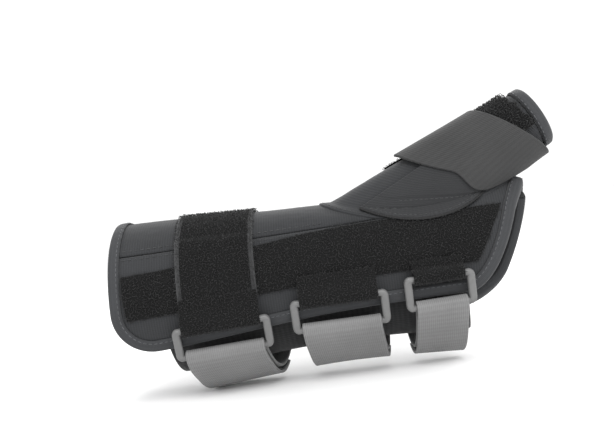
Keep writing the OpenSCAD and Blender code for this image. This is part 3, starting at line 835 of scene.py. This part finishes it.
def front_outline(s):
    parts = ((0.0, 0.25, 0, 0, 0.03, 1), (0.25, 0.7, 0, 1, 1, 1), (0.7, 1.0, 1, 1, 1, 0.04))
    return outline(s, front_spot, parts, np.zeros_like(s), np.zeros_like(s))


binding("edge_binding", back_outline, 260, 1, "splint")
binding("front_binding", front_outline, 240, -1, "front_flap")

# %% [markdown]
# The long seam between the two panels is a butt seam with a row of stitches on each side.

# %% The long seam's stitches
seam_x = np.linspace(7, 104, 60)
stitched("seam_stitches", [skin(seam_x, seam(seam_x) - 3.2, 4.2), skin(seam_x, seam(seam_x) + 4.0, 4.2)],
    "splint", Spacing=3.0, Length=2.0, Thickness=0.35)

# %% [markdown]
# ## Loop pile
#
# The wide black band is the soft half of a hook and loop fastener. So are the strap that crosses
# over the forearm and the tabs that hold the rings. Each is a thin ground cloth covered in loops.

# %% The pile band
def band_low(x):
    return mix(-4, 2, ease(x / WRIST))


def band_spot(u, v):
    """The band widens towards the fingers, and its end runs beside the slanted binding."""
    end = mix(LOW_END, WEB, ((20 + 40 * v) / 88) ** 0.6) - mix(9.0, 7.0, v)
    x = mix(5.8 + 1.2 * (1 - v) ** 2, end, u)
    width = mix(19.5, 24.5, ease((x - 20) / 120))
    return x, band_low(x) + v * width / per_degree(x, band_low(x) + 15)


u, v = plan(steps(170, 90), steps(25, 16))
x, angle = band_spot(u, v)
pile_band = cloth("pile_band_ground", skin(x, angle, 4.5), 0.7, arm_uv(x, angle), PILE_GROUND, edge=0.4)
dress(pile_band, "splint", "loop_pile", "pile_band")
looped(pile_band, "splint")

# %% [markdown]
# A second strip of pile crosses the band and goes on over the thumb side. Its two edges are bare
# selvedge, painted paler as a highlight where they catch the light. Past the band it sinks on to the panel.

# %% The forearm pile strap
STRAP_X, STRAP_W, RING_A = [51.5, 108.5, 157.0], [38.0, 38.0, 25.0], [-23.0, -19.0, -13.0]
u, v = plan(steps(38, 26), steps(95, 60))
x = STRAP_X[0] + (u - 0.5) * 38
first = band_low(STRAP_X[0])
angle = mix(first + 3, FOLD - 4, v)
over = first + 25 / per_degree(STRAP_X[0], 10.0) + 5
out = mix(5.75, 4.3, ease((angle - over) / 6)) + 0.35
selvedge = 0.35 * np.exp(-((0.5 - np.abs(u - 0.5)) * 38 / 0.9) ** 2)
forearm_strap = cloth("forearm_pile_strap_ground", skin(x, angle, out), 0.7, arm_uv(x, angle), PILE_GROUND,
    edge=0.4, relief=selvedge)
dress(forearm_strap, "splint", "loop_pile", "forearm_pile_strap")
leave_bare(forearm_strap, STRAP_X[0], 19 - 1.9)
looped(forearm_strap, "splint")
print("the strap over the forearm leaves the band at", round(float(over), 1), "degrees")

# %% [markdown]
# ## Rings
#
# Each ring is one moulding: two round bars joined by two flat ends. A section is carried round a
# rounded rectangle and changes from round on the bars to a fuller, squarer one at the ends. The
# ring lies in its own plane against the arm, so a small frame of three directions places it.

# %% Rings
PITCH, BAR_R, RING_OUT = 13.8, 1.6, 7.9
SIDE_GAP, END_W, END_R = 0.8, 3.8, 1.95


def ring_frame(i):
    """Origin, direction along the bars, up and out, for ring i."""
    x, angle = STRAP_X[i], RING_A[i]
    origin = skin(x, angle, RING_OUT)
    a = math.radians(angle)
    up = np.array([0, math.sin(a) / (half_height(x) + RING_OUT), math.cos(a) / (half_depth(x) + RING_OUT)])
    up /= np.linalg.norm(up)
    along_bars = skin(x + 1, angle, 0) - skin(x - 1, angle, 0)
    along_bars -= up * (along_bars @ up)
    along_bars /= np.linalg.norm(along_bars)
    out = np.cross(along_bars, up)
    return origin, along_bars, up, out * (1 if out[1] < 0 else -1)


def on_ring(i, x, y, z):
    """Points given along the bars, up and out of ring i, in the splint's own coordinates."""
    origin, along_bars, up, out = ring_frame(i)
    x, y, z = np.broadcast_arrays(x, y, z)
    return origin + x[..., None] * along_bars + y[..., None] * up + z[..., None] * out


def closed_sweep(name, rings, uv_scale, material):
    """A mesh round a closed row of closed sections, like a bent tube that bites its tail."""
    rings = np.concatenate([rings, rings[:1]])
    rings = np.concatenate([rings, rings[:, :1]], 1)
    nu, nv = rings.shape[:2]
    own = np.arange(nu * nv).reshape(nu, nv)
    ids = own.copy()
    ids[-1] = ids[0]
    ids[:, -1] = ids[:, 0]
    uv = flat_grid(np.arange(nu) * uv_scale, np.arange(nv) * uv_scale).reshape(-1, 2)
    return new_mesh(name, rings.reshape(-1, 3), quads(ids), uv[quads(own)], material)[0]


def round_rectangle(half_x, half_y, radius, count):
    """Points round a rounded rectangle and their outward directions, evenly spaced in angle."""
    points, outward = [], []
    inset = np.array([half_x - radius, half_y - radius])
    signs = np.array([(1, 1), (-1, 1), (-1, -1), (1, -1), (1, 1)])
    for corner in range(4):
        for k in range(count + 1):
            turn = math.radians(90 * (corner + k / count))
            direction = np.array([math.cos(turn), math.sin(turn)])
            points.append(signs[corner] * inset + radius * direction)
            outward.append(direction)
        end = signs[corner + 1] * inset + radius * direction
        first = mix(points[-1], end, 0.08)
        points += [first] + [mix(first, end, share) for share in (0.3, 0.5, 0.7, 0.92)]
        outward += [direction] * 5
    return np.array(points), np.array(outward)


print("ring 1 stands at", [round(float(v), 1) for v in ring_frame(0)[0]], "mm")

# %% [markdown]
# A bar's section is a circle. A ring's end is a fuller, squarer loop, because a power below one
# pushes a circle's points out towards its corners.

# %% The three rings


def ring(i):
    half_x = (STRAP_W[i] + 2 * SIDE_GAP + END_W) / 2
    path, outward = round_rectangle(half_x, PITCH / 2, 1.5, 5)
    end = ease((np.abs(path[:, 0]) - half_x + 2.2) / 1.6)
    phi = np.linspace(0, 2 * math.pi, 16, endpoint=False)
    power = mix(1.0, 0.72, end)[:, None]
    wide = mix(BAR_R, END_R, end)[:, None]
    c = np.sign(np.cos(phi)) * np.abs(np.cos(phi)) ** power * wide
    d = np.sign(np.sin(phi)) * np.abs(np.sin(phi)) ** power * BAR_R
    grid = on_ring(i, path[:, :1] + outward[:, :1] * c, path[:, 1:] + outward[:, 1:] * c, d)
    obj = closed_sweep(f"ring_{i + 1}_moulding", grid, 0.8, PLASTIC)
    return dress(obj, f"ring_{i + 1}", "moulded_plastic", f"ring_{i + 1}")


for i in range(3):
    print(ring(i).name, "box", [round(v / MM, 1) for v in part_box(f"ring_{i + 1}")[0]])

# %% [markdown]
# ## Cloth that follows a path
#
# A tab folds round a bar and a strap turns back through its ring. Both are a ribbon along a
# path, so the path is drawn as a few points and rounded by cutting its corners, and then spaced
# evenly. Every thread across the ribbon gets its own path, so the ribbon follows the arm's taper.

# %% Ribbons
def rounded_path(points, cuts=3):
    """Cuts the corners of a path, whose points run along the first axis."""
    for _ in range(cuts):
        a, b = points[:-1], points[1:]
        cut = np.stack([a * 0.75 + b * 0.25, a * 0.25 + b * 0.75], 1).reshape(-1, *points.shape[1:])
        points = np.concatenate([points[:1], cut, points[-1:]])
    return points


def evenly(points, shares):
    """Points at shares of a path's length; the length is that of its middle thread."""
    middle = points[:, points.shape[1] // 2]
    run = np.concatenate([[0], np.cumsum(np.linalg.norm(np.diff(middle, axis=0), axis=1))])
    where = np.interp(shares, run / run[-1], np.arange(len(run)))
    low = np.minimum(where.astype(int), len(run) - 2)
    part = (where - low)[:, None, None]
    return points[low] * (1 - part) + points[low + 1] * part, run[-1]


def ribbon(name, path, across, thick, material, rib=0.0, count=60, edge=0.5):
    """A strap along a path of points (along, across, 3), with ribs that run along it."""
    path = rounded_path(path)
    grid, length = evenly(path, steps(200, count, 1.0))
    uv = flat_grid(np.linspace(0, length, len(grid)), across)[..., ::-1]
    relief = 0.0
    if rib:
        inside = np.minimum(across - across.min(), across.max() - across)
        relief = 0.1 * np.abs(np.sin(math.pi * across / rib)) * (inside > 1.2) + 0.12 * (inside <= 1.2)
        relief = np.broadcast_to(relief, grid.shape[:2])
    return cloth(name, grid, thick, uv, material, edge=edge, relief=relief)


print("ribbons are ready")

# %% [markdown]
# A strap's threads lie side by side. They lean along the arm below the ring, because the arm
# tapers and a strap pulled round a cone runs off towards its thin end.

# %% Places for threads
def threads(width, pitch=0.9):
    """Places across a strap in mm from its middle, with four to a rib."""
    return (steps(width, int(width / pitch * 3), 0.6) - 0.5) * width


def bar_loop(i, x, y, start, end, count, radius):
    """Points round a bar of ring i: angles are in the ring's plane, 0 out and 90 up."""
    turn = np.radians(np.linspace(start, end, count))[:, None]
    return on_ring(i, x[None, :], y + radius * np.sin(turn), radius * np.cos(turn))


def ring_rows(i, across, heights, out):
    """Rows of points in the plane of ring i, at heights from its middle and a distance out."""
    return on_ring(i, across[None, :], np.array(heights)[:, None], np.array([[out]]))


STRAP_LEAN, TAIL_END = [7.0, 4.0, -3.0], -108.0


def lower_bar_angle(i):
    return RING_A[i] - 0.5 * PITCH / per_degree(STRAP_X[i], RING_A[i])


def arm_rows(i, across, angles, out):
    """Rows of points over the arm across strap i, which leans along the arm below its ring."""
    angles = np.asarray(angles, float)
    out = np.broadcast_to(out, angles.shape)
    below = np.clip(lower_bar_angle(i) - angles, 0, None) / (lower_bar_angle(i) - TAIL_END)
    x = STRAP_X[i] + STRAP_LEAN[i] * below[:, None] + across[None, :]
    return skin(x, angles[:, None], out[:, None])


# %% [markdown]
# A tab of pile cloth starts on the band, comes down over the upper bar, goes round it and ends
# behind it. Its loops face out all the way.

# %% Ring tabs
TAB_LEG = 3.2


def ring_tab(i):
    across = threads(STRAP_W[i] - 0.4, 2.0)
    start = band_low(STRAP_X[i]) + 6
    down = arm_rows(i, across, [start, start - 3, start - 6], [6.5, 6.6, 7.2])
    outer = ring_rows(i, across, [PITCH / 2 + TAB_LEG], 2.35)
    turn = bar_loop(i, across, PITCH / 2, 0, -180, 9, BAR_R + 0.1 + 0.5)
    inner = ring_rows(i, across, [PITCH / 2 + TAB_LEG / 2, PITCH / 2 + TAB_LEG], -2.2)
    path = np.concatenate([down, outer, turn, inner])
    obj = ribbon(f"ring_tab_{i + 1}_ground", path, across, 0.8, PILE_GROUND, count=40)
    dress(obj, "splint", "loop_pile", f"ring_tab_{i + 1}")
    looped(obj, "splint", Height=0.85)


for i in range(3):
    ring_tab(i)

# %% [markdown]
# ## Straps
#
# A strap is one length of ribbed elastic webbing. Its far end is sewn to the front panel. It
# runs round the little finger side, up through the ring, over the lower bar and back down on
# itself, where a hook tab holds it. It crosses three joints, so it is cut in three where
# nothing shows: the sewn end, the run with its turn round the bar, and the tail.

# %% The sewn end of a strap
STRAP_T, RIB, RUN_OUT, JOIN = 1.4, 0.95, 5.3, -72


def metres(points):
    return tuple(np.asarray(points, float).reshape(-1, 3).mean(0) * MM)


def strap_piece(i, kind, path, across, count=60):
    return ribbon(f"strap_{kind}_{i + 1}_webbing", path, across, STRAP_T, WEBBING, RIB, count)


def strap_end(i, across):
    """The end sewn to the flap."""
    sewn = np.linspace(-158, JOIN, 24)
    rows = arm_rows(i, across, sewn, mix(5.9, RUN_OUT, ease((sewn + 125) / 25)))
    end = strap_piece(i, "end", rows, across)
    metres(arm_rows(i, across, [-140], [5.5]))
    metres(arm_rows(i, across, [-111], [5.5]))
    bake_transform(end)
    dress(end, None, "grey_webbing", f"strap_end_{i + 1}")


def boxed_cross(i):
    """A box with one diagonal, which is how webbing is sewn down."""
    low, high, half = -155.5, -147, STRAP_W[i] / 2 - 2.5
    box = [(low, -half), (low, half), (high, half), (high, -half), (low, -half), (high, half)]
    corners = [arm_rows(i, np.array([side]), [angle], 6.72)[0, 0] for angle, side in box]
    lines = [np.linspace(a, b, 12) for a, b in zip(corners[:-1], corners[1:])]
    stitched(f"strap_end_{i + 1}_stitches", lines, "front_flap", PALE_STITCHES, Thickness=0.4)


print("the run's middle is", RUN_OUT, "mm out")

# %% [markdown]
# The run turns round its ring's lower bar, and the tail starts on top of that turn. Where the
# two lie over one another, the tail is a little further out, so neither shows through.

# %% The run and the tail
BAR_WRAP = BAR_R + 0.15 + 0.7


def ring_place(i, height, out):
    """A point in the plane of ring i, in metres."""
    return metres(on_ring(i, np.zeros(1), np.array([height]), np.array([out])))


def strap_run(i, across, bar_angle):
    rows = arm_rows(i, across, np.linspace(JOIN, bar_angle - 7, 12), RUN_OUT)
    turn = bar_loop(i, across, -PITCH / 2, 200, 0, 12, BAR_WRAP)
    run = strap_piece(i, "run", np.concatenate([rows, turn]), across)
    metres(arm_rows(i, across, [-50], [RUN_OUT]))
    ring_place(i, -PITCH / 2, -2.4)
    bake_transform(run)
    dress(run, None, "grey_webbing", f"strap_run_{i + 1}")


def strap_tail(i, across, bar_angle):
    top = bar_loop(i, across, -PITCH / 2, 62, 0, 4, BAR_WRAP)
    below = ring_rows(i, across, [-PITCH / 2 - 2.0], 2.4)
    fall = np.array([bar_angle - 6, bar_angle - 12, *np.linspace(bar_angle - 20, TAIL_END, 16)])
    rows = arm_rows(i, across, fall, mix(10.4, 8.6, ease((bar_angle - 4 - fall) / 16)))
    tail = strap_piece(i, "tail", np.concatenate([top, below, rows]), across, 70)
    ring_place(i, -PITCH / 2 + 0.5, 2.4)
    ring_place(i, -PITCH / 2 - 4.5, 2.4)
    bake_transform(tail)
    dress(tail, None, "grey_webbing", f"strap_tail_{i + 1}")


def hook_tab(i, bar_angle):
    across = threads(STRAP_W[i] - 1.2, 2.0)
    grip = np.linspace(bar_angle - 21, TAIL_END + 1.5, 14)
    hook = ribbon(f"hook_tab_{i + 1}_tape", arm_rows(i, across, grip, 7.35), across, 1.0, HOOK_TAPE,
        count=40)
    dress(hook, f"strap_tail_{i + 1}", "hook_tape", f"hook_tab_{i + 1}")


for i in range(3):
    across, bar_angle = threads(STRAP_W[i]), float(lower_bar_angle(i))
    strap_end(i, across)
    boxed_cross(i)
    strap_run(i, across, bar_angle)
    strap_tail(i, across, bar_angle)
    hook_tab(i, bar_angle)
    print("strap", i + 1, "turns round its bar at", round(bar_angle, 1), "degrees")

# %% [markdown]
# ## The thumb sleeve
#
# The sleeve starts at the oval cut and ends in a round rim that leans with the thumb. Each line
# along it is a smooth curve with four handles: it leaves the hand and meets the rim along the
# thumb's direction. Below the cut it continues as a flange that lies over the panels' edge,
# where the two are sewn together. Angles run round the thumb: 0 is the back of the hand and
# 90 is away from the fingers.

# %% The sleeve's surface
TILT = math.radians(26)
THUMB = np.array([math.cos(TILT), 0, math.sin(TILT)])
THUMB_UP = np.array([-math.sin(TILT), 0, math.cos(TILT)])
RIM, RIM_R = np.array([217.0, -1.0, 70.0]), 15.5


def ray(turn):
    turn = np.radians(np.asarray(turn, float))[..., None]
    return np.array([0, -1.0, 0]) * np.cos(turn) + THUMB_UP * np.sin(turn)


def on_flange(reach, turn, out):
    """A place on the arm's surface, reach millimetres outside the sleeve's foot."""
    f = np.radians(turn)
    return skin(HOLE_X - (45 + reach) * np.sin(f), 90 - (40 + reach * 1.5) * np.cos(f), 4 + out)


def sleeve(s, turn, out):
    """A point on the sleeve; s is 0 at the hand and 1 at the rim, and below 0 on the flange."""
    s, turn, out = np.broadcast_arrays(np.asarray(s, float), np.asarray(turn, float), out)
    up = np.clip(s, 0, None)[..., None]
    a = on_flange(0, turn, 0)
    d = RIM + ray(turn) * RIM_R
    k = np.linalg.norm(d - a, axis=-1, keepdims=True) / 3
    r = 1 - up
    b, c = a + THUMB * k, d - THUMB * k
    tube = r ** 3 * a + 3 * r * r * up * b + 3 * r * up * up * c + up ** 3 * d + ray(turn) * out[..., None]
    flat = on_flange(np.clip(-s, 0, None) * 60, turn, out)
    return mix(flat, tube, ease((s + 0.05) / 0.1)[..., None])


def sleeve_uv(s, turn):
    return np.stack([s * 70, turn * 0.3], -1)


def sleeve_piece(name, node, s, turn, low, high, material, slot, wrap=False, relief=0.0, edge=0.8,
        swell=0.0, body="splint"):
    """Cloth on the sleeve from a grid of s and turn. low and high are its faces' distances out."""
    middle = sleeve(s, turn, (low + high) / 2)
    loose = None
    if swell:
        loose = ease(fullness(middle, 0, 7.0)) * (1 if wrap else ease(fullness(middle, 1, 6.0)))
    obj = cloth(name, middle, high - low, sleeve_uv(s, turn), material, edge=edge, relief=relief,
        wrap=wrap, loose=loose)
    if swell:
        puff(obj, swell)
    return dress(obj, body, slot, *([node] if node else []))


# %% Sleeve, its lining and its rim
s, turn = plan(mix(-0.1, 1.0, steps(90, 50)), np.linspace(0, 360, 97))
inward = mix(-0.35, -1.1, ease((s + 0.06) / 0.14))
sleeve_piece("thumb_sleeve_cloth", "thumb_sleeve", s, turn, inward - 1.1, inward + 1.1, LAMINATE,
    "laminate", wrap=True, swell=0.8)
s, turn = plan(mix(0.0, 0.97, steps(80, 30)), np.linspace(0, 360, 73))
inner = sleeve_piece("thumb_lining_cloth", "thumb_lining", s, turn, -3.6, -2.4, BRUSHED, "lining",
    wrap=True)
stretched(inner, sleeve(s, turn, -3.0))


def rim_spot(down, out, turn):
    return RIM + THUMB * np.asarray(down)[..., None] + ray(turn) * (RIM_R + np.asarray(out))[..., None]


RIM_SECTION = np.array([(-4.6, 0.42), (-2.6, 0.5), (-0.8, 0.48), (0.3, 0.3), (0.95, -0.4), (1.15, -1.4),
    (1.15, -2.4), (0.9, -3.3), (0.2, -4.0), (-1.0, -4.2), (-3.2, -4.2)])
turn = np.linspace(0, 360, 121)
grid = rim_spot(RIM_SECTION[:, :1], RIM_SECTION[:, 1:] + 0 * turn, np.broadcast_to(turn, (11, 121)))
uv = np.stack(np.broadcast_arrays(turn * 0.27, np.arange(11)[:, None] * 1.3), -1)
rim_tape = cloth("thumb_binding_tape", grid, 0.75, uv, TAPE, edge=0.4, wrap=True)
dress(rim_tape, "splint", "binding_tape", "thumb_binding")
stitched("thumb_rim_stitches", [rim_spot(np.full(90, -3.3), np.full(90, 0.93), np.linspace(0, 356, 90))],
    "splint", PALE_STITCHES)

# %% [markdown]
# ## On the sleeve
#
# A leaf of laminate is sewn over the sleeve's foot and a flat metal stay lies sealed under it.
# Its long lower edge carries a dark cord, a painted shadow where the edge overlaps the panels, and a sunk
# seam follows that edge inside it.

# %% The leaf and its piping
LEAF_LOW, LEAF_TIP, LEAF_TOP = -40.0, 42.0, 0.56


def leaf_share(turn):
    return np.clip((turn - LEAF_LOW) / (LEAF_TIP - LEAF_LOW), 0, 1)


def leaf_bottom(turn):
    """The leaf's long lower edge, as s, which hangs down over the panels in the middle."""
    share = leaf_share(turn)
    return mix(-0.05, -0.02, share) - 0.1 * np.sin(math.pi * share ** 0.8)


def leaf_margin(turn):
    """The sunk seam runs this far inside the lower edge, further where the leaf is deep."""
    return 0.13 + 0.13 * np.sin(math.pi * np.clip(leaf_share(turn) / 0.9, 0, 1))


share, turn_share = plan(steps(40, 44), steps(60, 60))
turn = mix(LEAF_LOW, LEAF_TIP, turn_share)
bottom = leaf_bottom(turn)
s = mix(bottom, LEAF_TOP, share)
seam_at = bottom + leaf_margin(turn)
sunk = -0.28 * np.exp(-((s - seam_at) / 0.008) ** 2)
raised = 0.35 * ease((s - seam_at) / 0.02)
sleeve_piece("thumb_overlay_cloth", "thumb_overlay", s, turn, 1.2, 2.3, LEAF_CLOTH, "laminate",
    relief=sunk + raised, edge=0.6, swell=0.5)


def round_cord(name, line, radius, material):
    """A closed tube along a line of points in mm, tapered shut at both ends."""
    along_line = np.gradient(line, axis=0)
    along_line /= np.linalg.norm(along_line, axis=1, keepdims=True)
    side = np.cross(along_line, [0.31, -0.9, 0.3])
    side /= np.linalg.norm(side, axis=1, keepdims=True)
    other = np.cross(along_line, side)
    run = np.arange(len(line))
    near = np.minimum(run, run[::-1])
    size = radius * np.sqrt(1 - (1 - np.clip(near / 3, 0, 1)) ** 2)
    phi = np.linspace(0, 2 * math.pi, 9)
    circle = side[:, None] * np.cos(phi)[:, None] + other[:, None] * np.sin(phi)[:, None]
    grid = line[:, None] + size[:, None, None] * circle
    ids = np.arange(len(line) * 9).reshape(-1, 9)
    own = ids.copy()
    ids[:, -1] = ids[:, 0]
    ids[0], ids[-1] = ids[0, 0], ids[-1, 0]
    uv = flat_grid(run * 0.8, phi * radius).reshape(-1, 2)
    return new_mesh(name, grid.reshape(-1, 3), quads(ids), uv[quads(own)], material)[0]


# %% [markdown]
# A thin dark cord runs along the leaf's lower edge. Its darkness is a painted shadow, the shade that the
# overlapping edge casts on the panels.

# %% The leaf edge's painted shadow cord, and stitches
turn = np.linspace(LEAF_LOW + 1, LEAF_TIP, 90)
# The cord is dark hook tape: a painted shadow along the leaf's lower edge, where it overlaps the panels.
edge_shadow_cord = round_cord("leaf_edge_shadow_cord", sleeve(leaf_bottom(turn) - 0.004, turn, 1.5), 0.75, HOOK_TAPE)
dress(edge_shadow_cord, "splint", "binding_tape")
by_the_seam = sleeve(leaf_bottom(turn) + leaf_margin(turn) - 0.02, turn, 2.35)[:-22]
by_the_edge = sleeve(leaf_bottom(turn) + 0.025, turn, 2.35)[:-6]
stitched("leaf_stitches", [by_the_seam, by_the_edge], "splint", Spacing=2.4, Length=1.7, Thickness=0.3)
turn = np.linspace(0, 357, 150)
stitched("sleeve_foot_stitches", [sleeve(-0.065, turn, 0.85)], "splint", Spacing=2.6, Thickness=0.35)
print("piping is", len(edge_shadow_cord.data.polygons), "faces")

# %% [markdown]
# The thumb strap is a wide piece of dark elastic. It comes over the sleeve from the finger side
# and folds over the top of the thumb, and its tail is held by a hook tab on a patch of pile on
# the palm side.

# %% The thumb strap
def wrap_far(turn):
    return mix(0.88, 0.77, (turn + 95) / 185)


def wrap_near(turn):
    """The near edge dips towards the hand at the web."""
    return 0.37 - 0.26 * ease((15 - turn) / 55) * ease((turn + 80) / 45)


def ribbed(share, width, pitch=0.95):
    inside = (0.5 - np.abs(share - 0.5)) * width
    return 0.09 * np.abs(np.sin(math.pi * share * width / pitch)) * (inside > 1.2) + 0.12 * (inside <= 1.2)


share, turn_share = plan(steps(38, 120, 0.6), steps(95, 80, 0.8))
turn = mix(-112, 92, turn_share)
s = mix(wrap_near(turn), wrap_far(turn), share)
sleeve_piece("thumb_strap_webbing", "thumb_strap", s, turn, 2.7, 4.1, DARK_WEBBING, "dark_webbing",
    relief=ribbed(share, 38), edge=0.6)
print("thumb strap covers s from", round(float(s.min()), 2), "to", round(float(s.max()), 2))

# %% [markdown]
# A patch of pile lies on the sleeve under the strap. It wraps over the palm side, where the hook
# tab grips it, and its ragged end stands out past the strap's far edge.

# %% The pile patch and its ragged end
share, turn_share = plan(steps(40, 24), steps(40, 36))
turn = mix(93, 200, turn_share)
patch = sleeve_piece("thumb_pile_patch_ground", "thumb_pile_patch", mix(0.3, 0.86, share), turn, 0.2, 0.9,
    PILE_GROUND, "loop_pile", edge=0.4)
looped(patch, "splint", Height=0.9, Spacing=1.0)

share, turn_share = plan(steps(9, 14), steps(36, 50))
turn = mix(-9, 130, turn_share)
ragged = 0.925 + 0.012 * smooth_noise(turn, 0 * turn, 14, 4)
fringe = sleeve_piece("pile_fringe_ground", None, mix(0.78, ragged, share), turn, 1.3, 1.9, PILE_GROUND,
    "loop_pile", edge=0.4)
looped(fringe, "splint", Height=1.5, Spacing=0.9)

# %% [markdown]
# The tail folds over the top of the thumb and peels back about that fold, so it belongs to the
# splint at the fold and to its own body a little further on.

# %% The thumb strap's tail and hook tab
share, turn_share = plan(steps(28, 88, 0.6), steps(45, 60, 0.8))
turn = mix(92.6, 186, turn_share)
lift = mix(3.4, 3.6, ease((turn - 93) / 10))
tail = sleeve_piece("thumb_strap_tail_webbing", "thumb_strap_tail", mix(0.39, 0.77, share), turn,
    lift - 0.7, lift + 0.7, DARK_WEBBING, "dark_webbing", relief=ribbed(share, 28), edge=0.6, body=None)
metres(sleeve([0.57], [93.5], 3.4))
metres(sleeve([0.57], [104.0], 3.4))
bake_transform(tail)
share, turn_share = plan(steps(26, 14), steps(20, 14))
sleeve_piece("thumb_hook_tab_tape", "thumb_hook_tab", mix(0.42, 0.74, share),
    mix(138, 184, turn_share), 1.9, 2.8, HOOK_TAPE, "hook_tape", edge=0.4, body="thumb_strap_tail")
print("the tail and its hook tab are made")

# %% [markdown]
# ## Stay pockets and stays
#
# The flat stays slide in cloth pockets that are open at the elbow end. A pocket is a sleeve of
# lining pulled flat over the bar. It follows the bar's own line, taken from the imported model.
# The bars themselves are already right, so they only get a metal finish.

# %% Pockets and metal bars
def stay_pocket(name, stay, side, body):
    low, high = (np.array(corner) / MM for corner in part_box(stay))
    thick = 2.0 if stay == "palm_stay" else 1.4
    near, far = (high[1], low[1]) if side > 0 else (low[1], high[1])
    start = np.array([low[0], near - side * thick / 2, (low[2] + high[2]) / 2])
    end = np.array([high[0], far + side * thick / 2, start[2]])
    run = np.concatenate([[-3.0], np.linspace(0, 1, 40) * (high[0] - low[0]), [high[0] - low[0] + 2.5]])
    way = (end - start) / (high[0] - low[0])
    phi = np.linspace(0, 360, 61)
    half_w, half_t = (high[2] - low[2]) / 2 + 1.1, thick / 2 + 0.75
    round_x = np.sign(np.cos(np.radians(phi))) * np.abs(np.cos(np.radians(phi))) ** 0.35
    round_y = np.sign(np.sin(np.radians(phi))) * np.abs(np.sin(np.radians(phi))) ** 0.9
    shut = np.ones(len(run))
    shut[-1] = 0.4
    grid = start + run[:, None, None] * way + np.stack([
        np.zeros((len(run), len(phi))),
        np.outer(shut, round_y) * half_t,
        np.outer(np.ones(len(run)), round_x) * half_w], -1)
    uv = np.stack(np.meshgrid(run, phi * 0.1, indexing="ij"), -1)
    obj = cloth(name + "_cloth", grid, 0.7, uv, BRUSHED, edge=0.4, wrap=True)
    return dress(obj, body, "lining", name)


stay_pocket("palm_stay_pocket", "palm_stay", 1, "front_flap")
stay_pocket("back_stay_pocket", "back_stay", -1, "splint")
for node in ("palm_stay", "back_stay", "thumb_stay"):
    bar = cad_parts[node].data
    bar.materials.clear()
    bar.materials.append(METAL)

# %% [markdown]
# ## Floor, light and camera
#
# The splint is shown on a plain pale floor in soft light, so that cloth reads by its texture. A
# large soft light above and behind the camera gives the main shading, and a weaker one from the
# other side opens the shadows. The camera looks at the back of the hand from a little above the
# floor, rolled so that the forearm rises towards the fingers.

# %% The floor
bpy.context.view_layer.update()
low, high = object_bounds()
floor = bpy.data.meshes.new("floor")
reach, level = 3.0, low.z - 0.0005
sides = [(-reach, -reach), (reach, -reach), (reach, reach), (-reach, reach)]
floor.from_pydata([(x, y, level) for x, y in sides], [], [(0, 1, 2, 3)])
floor = bpy.data.objects.new("floor", floor)
bpy.context.scene.collection.objects.link(floor)
pale, tree, shader = new_material("pale floor")
place = put(tree, "ShaderNodeTexCoord")
cloudy = put(tree, "ShaderNodeTexNoise", {"Vector": place.outputs["Object"], "Scale": 2.0})
tree.links.new(blend_colour(tree, cloudy.outputs[0], (0.9, 0.9, 0.9, 1), (0.93, 0.93, 0.93, 1)),
    shader.inputs["Base Color"])
shader.inputs["Roughness"].default_value = 0.9
floor.data.materials.append(pale)
print("floor at", round(level / MM, 1), "mm")

# %% The lights
def soft_light(name, place, target, size, power):
    lamp = bpy.data.lights.new(name, "AREA")
    lamp.shape, lamp.size, lamp.energy = "DISK", size, power
    obj = bpy.data.objects.new(name, lamp)
    obj.location = place
    obj.rotation_euler = (Vector(target) - Vector(place)).to_track_quat("-Z", "Y").to_euler()
    bpy.context.scene.collection.objects.link(obj)


middle = (0.11, 0.0, 0.0)
soft_light("key", (0.15, -0.8, 0.8), middle, 0.8, 8.0)
soft_light("fill", (0.7, -0.6, 0.35), middle, 0.8, 2.0)
soft_light("back", (0.2, 0.8, 0.7), middle, 0.6, 5.0)
world = bpy.data.worlds.new("white room")
world.use_nodes = True
world.node_tree.nodes["Background"].inputs[0].default_value = (1, 1, 1, 1)
world.node_tree.nodes["Background"].inputs[1].default_value = 1.1
bpy.context.scene.world = world
bpy.context.scene.view_settings.view_transform = "Standard"

print("lights:", [lamp.name for lamp in bpy.data.lights])

# %% The camera
lens = bpy.data.cameras.new("camera")
lens.lens, lens.sensor_width = 43.5, 36.0
lens.clip_start, lens.clip_end = 0.01, 20.0
camera = bpy.data.objects.new("camera", lens)
turned, raised_by, roll = (math.radians(a) for a in (-3.14, -0.83, -7.68))
forward = Vector((math.sin(turned), math.cos(turned), 0)) * math.cos(raised_by)
forward.z = math.sin(raised_by)
across = forward.cross(Vector((0, 0, 1))).normalized()
upward = across.cross(forward)
right = across * math.cos(roll) + upward * math.sin(roll)
above = upward * math.cos(roll) - across * math.sin(roll)
camera.matrix_world = Matrix.Translation((0.1183, -0.3831, 0.0420)) @ Matrix(
    (right, above, -forward)).transposed().to_4x4()
bpy.context.scene.collection.objects.link(camera)
bpy.context.scene.camera = camera
print("camera at", [round(v, 3) for v in camera.matrix_world.translation])

# %% Last update
bpy.context.view_layer.update()
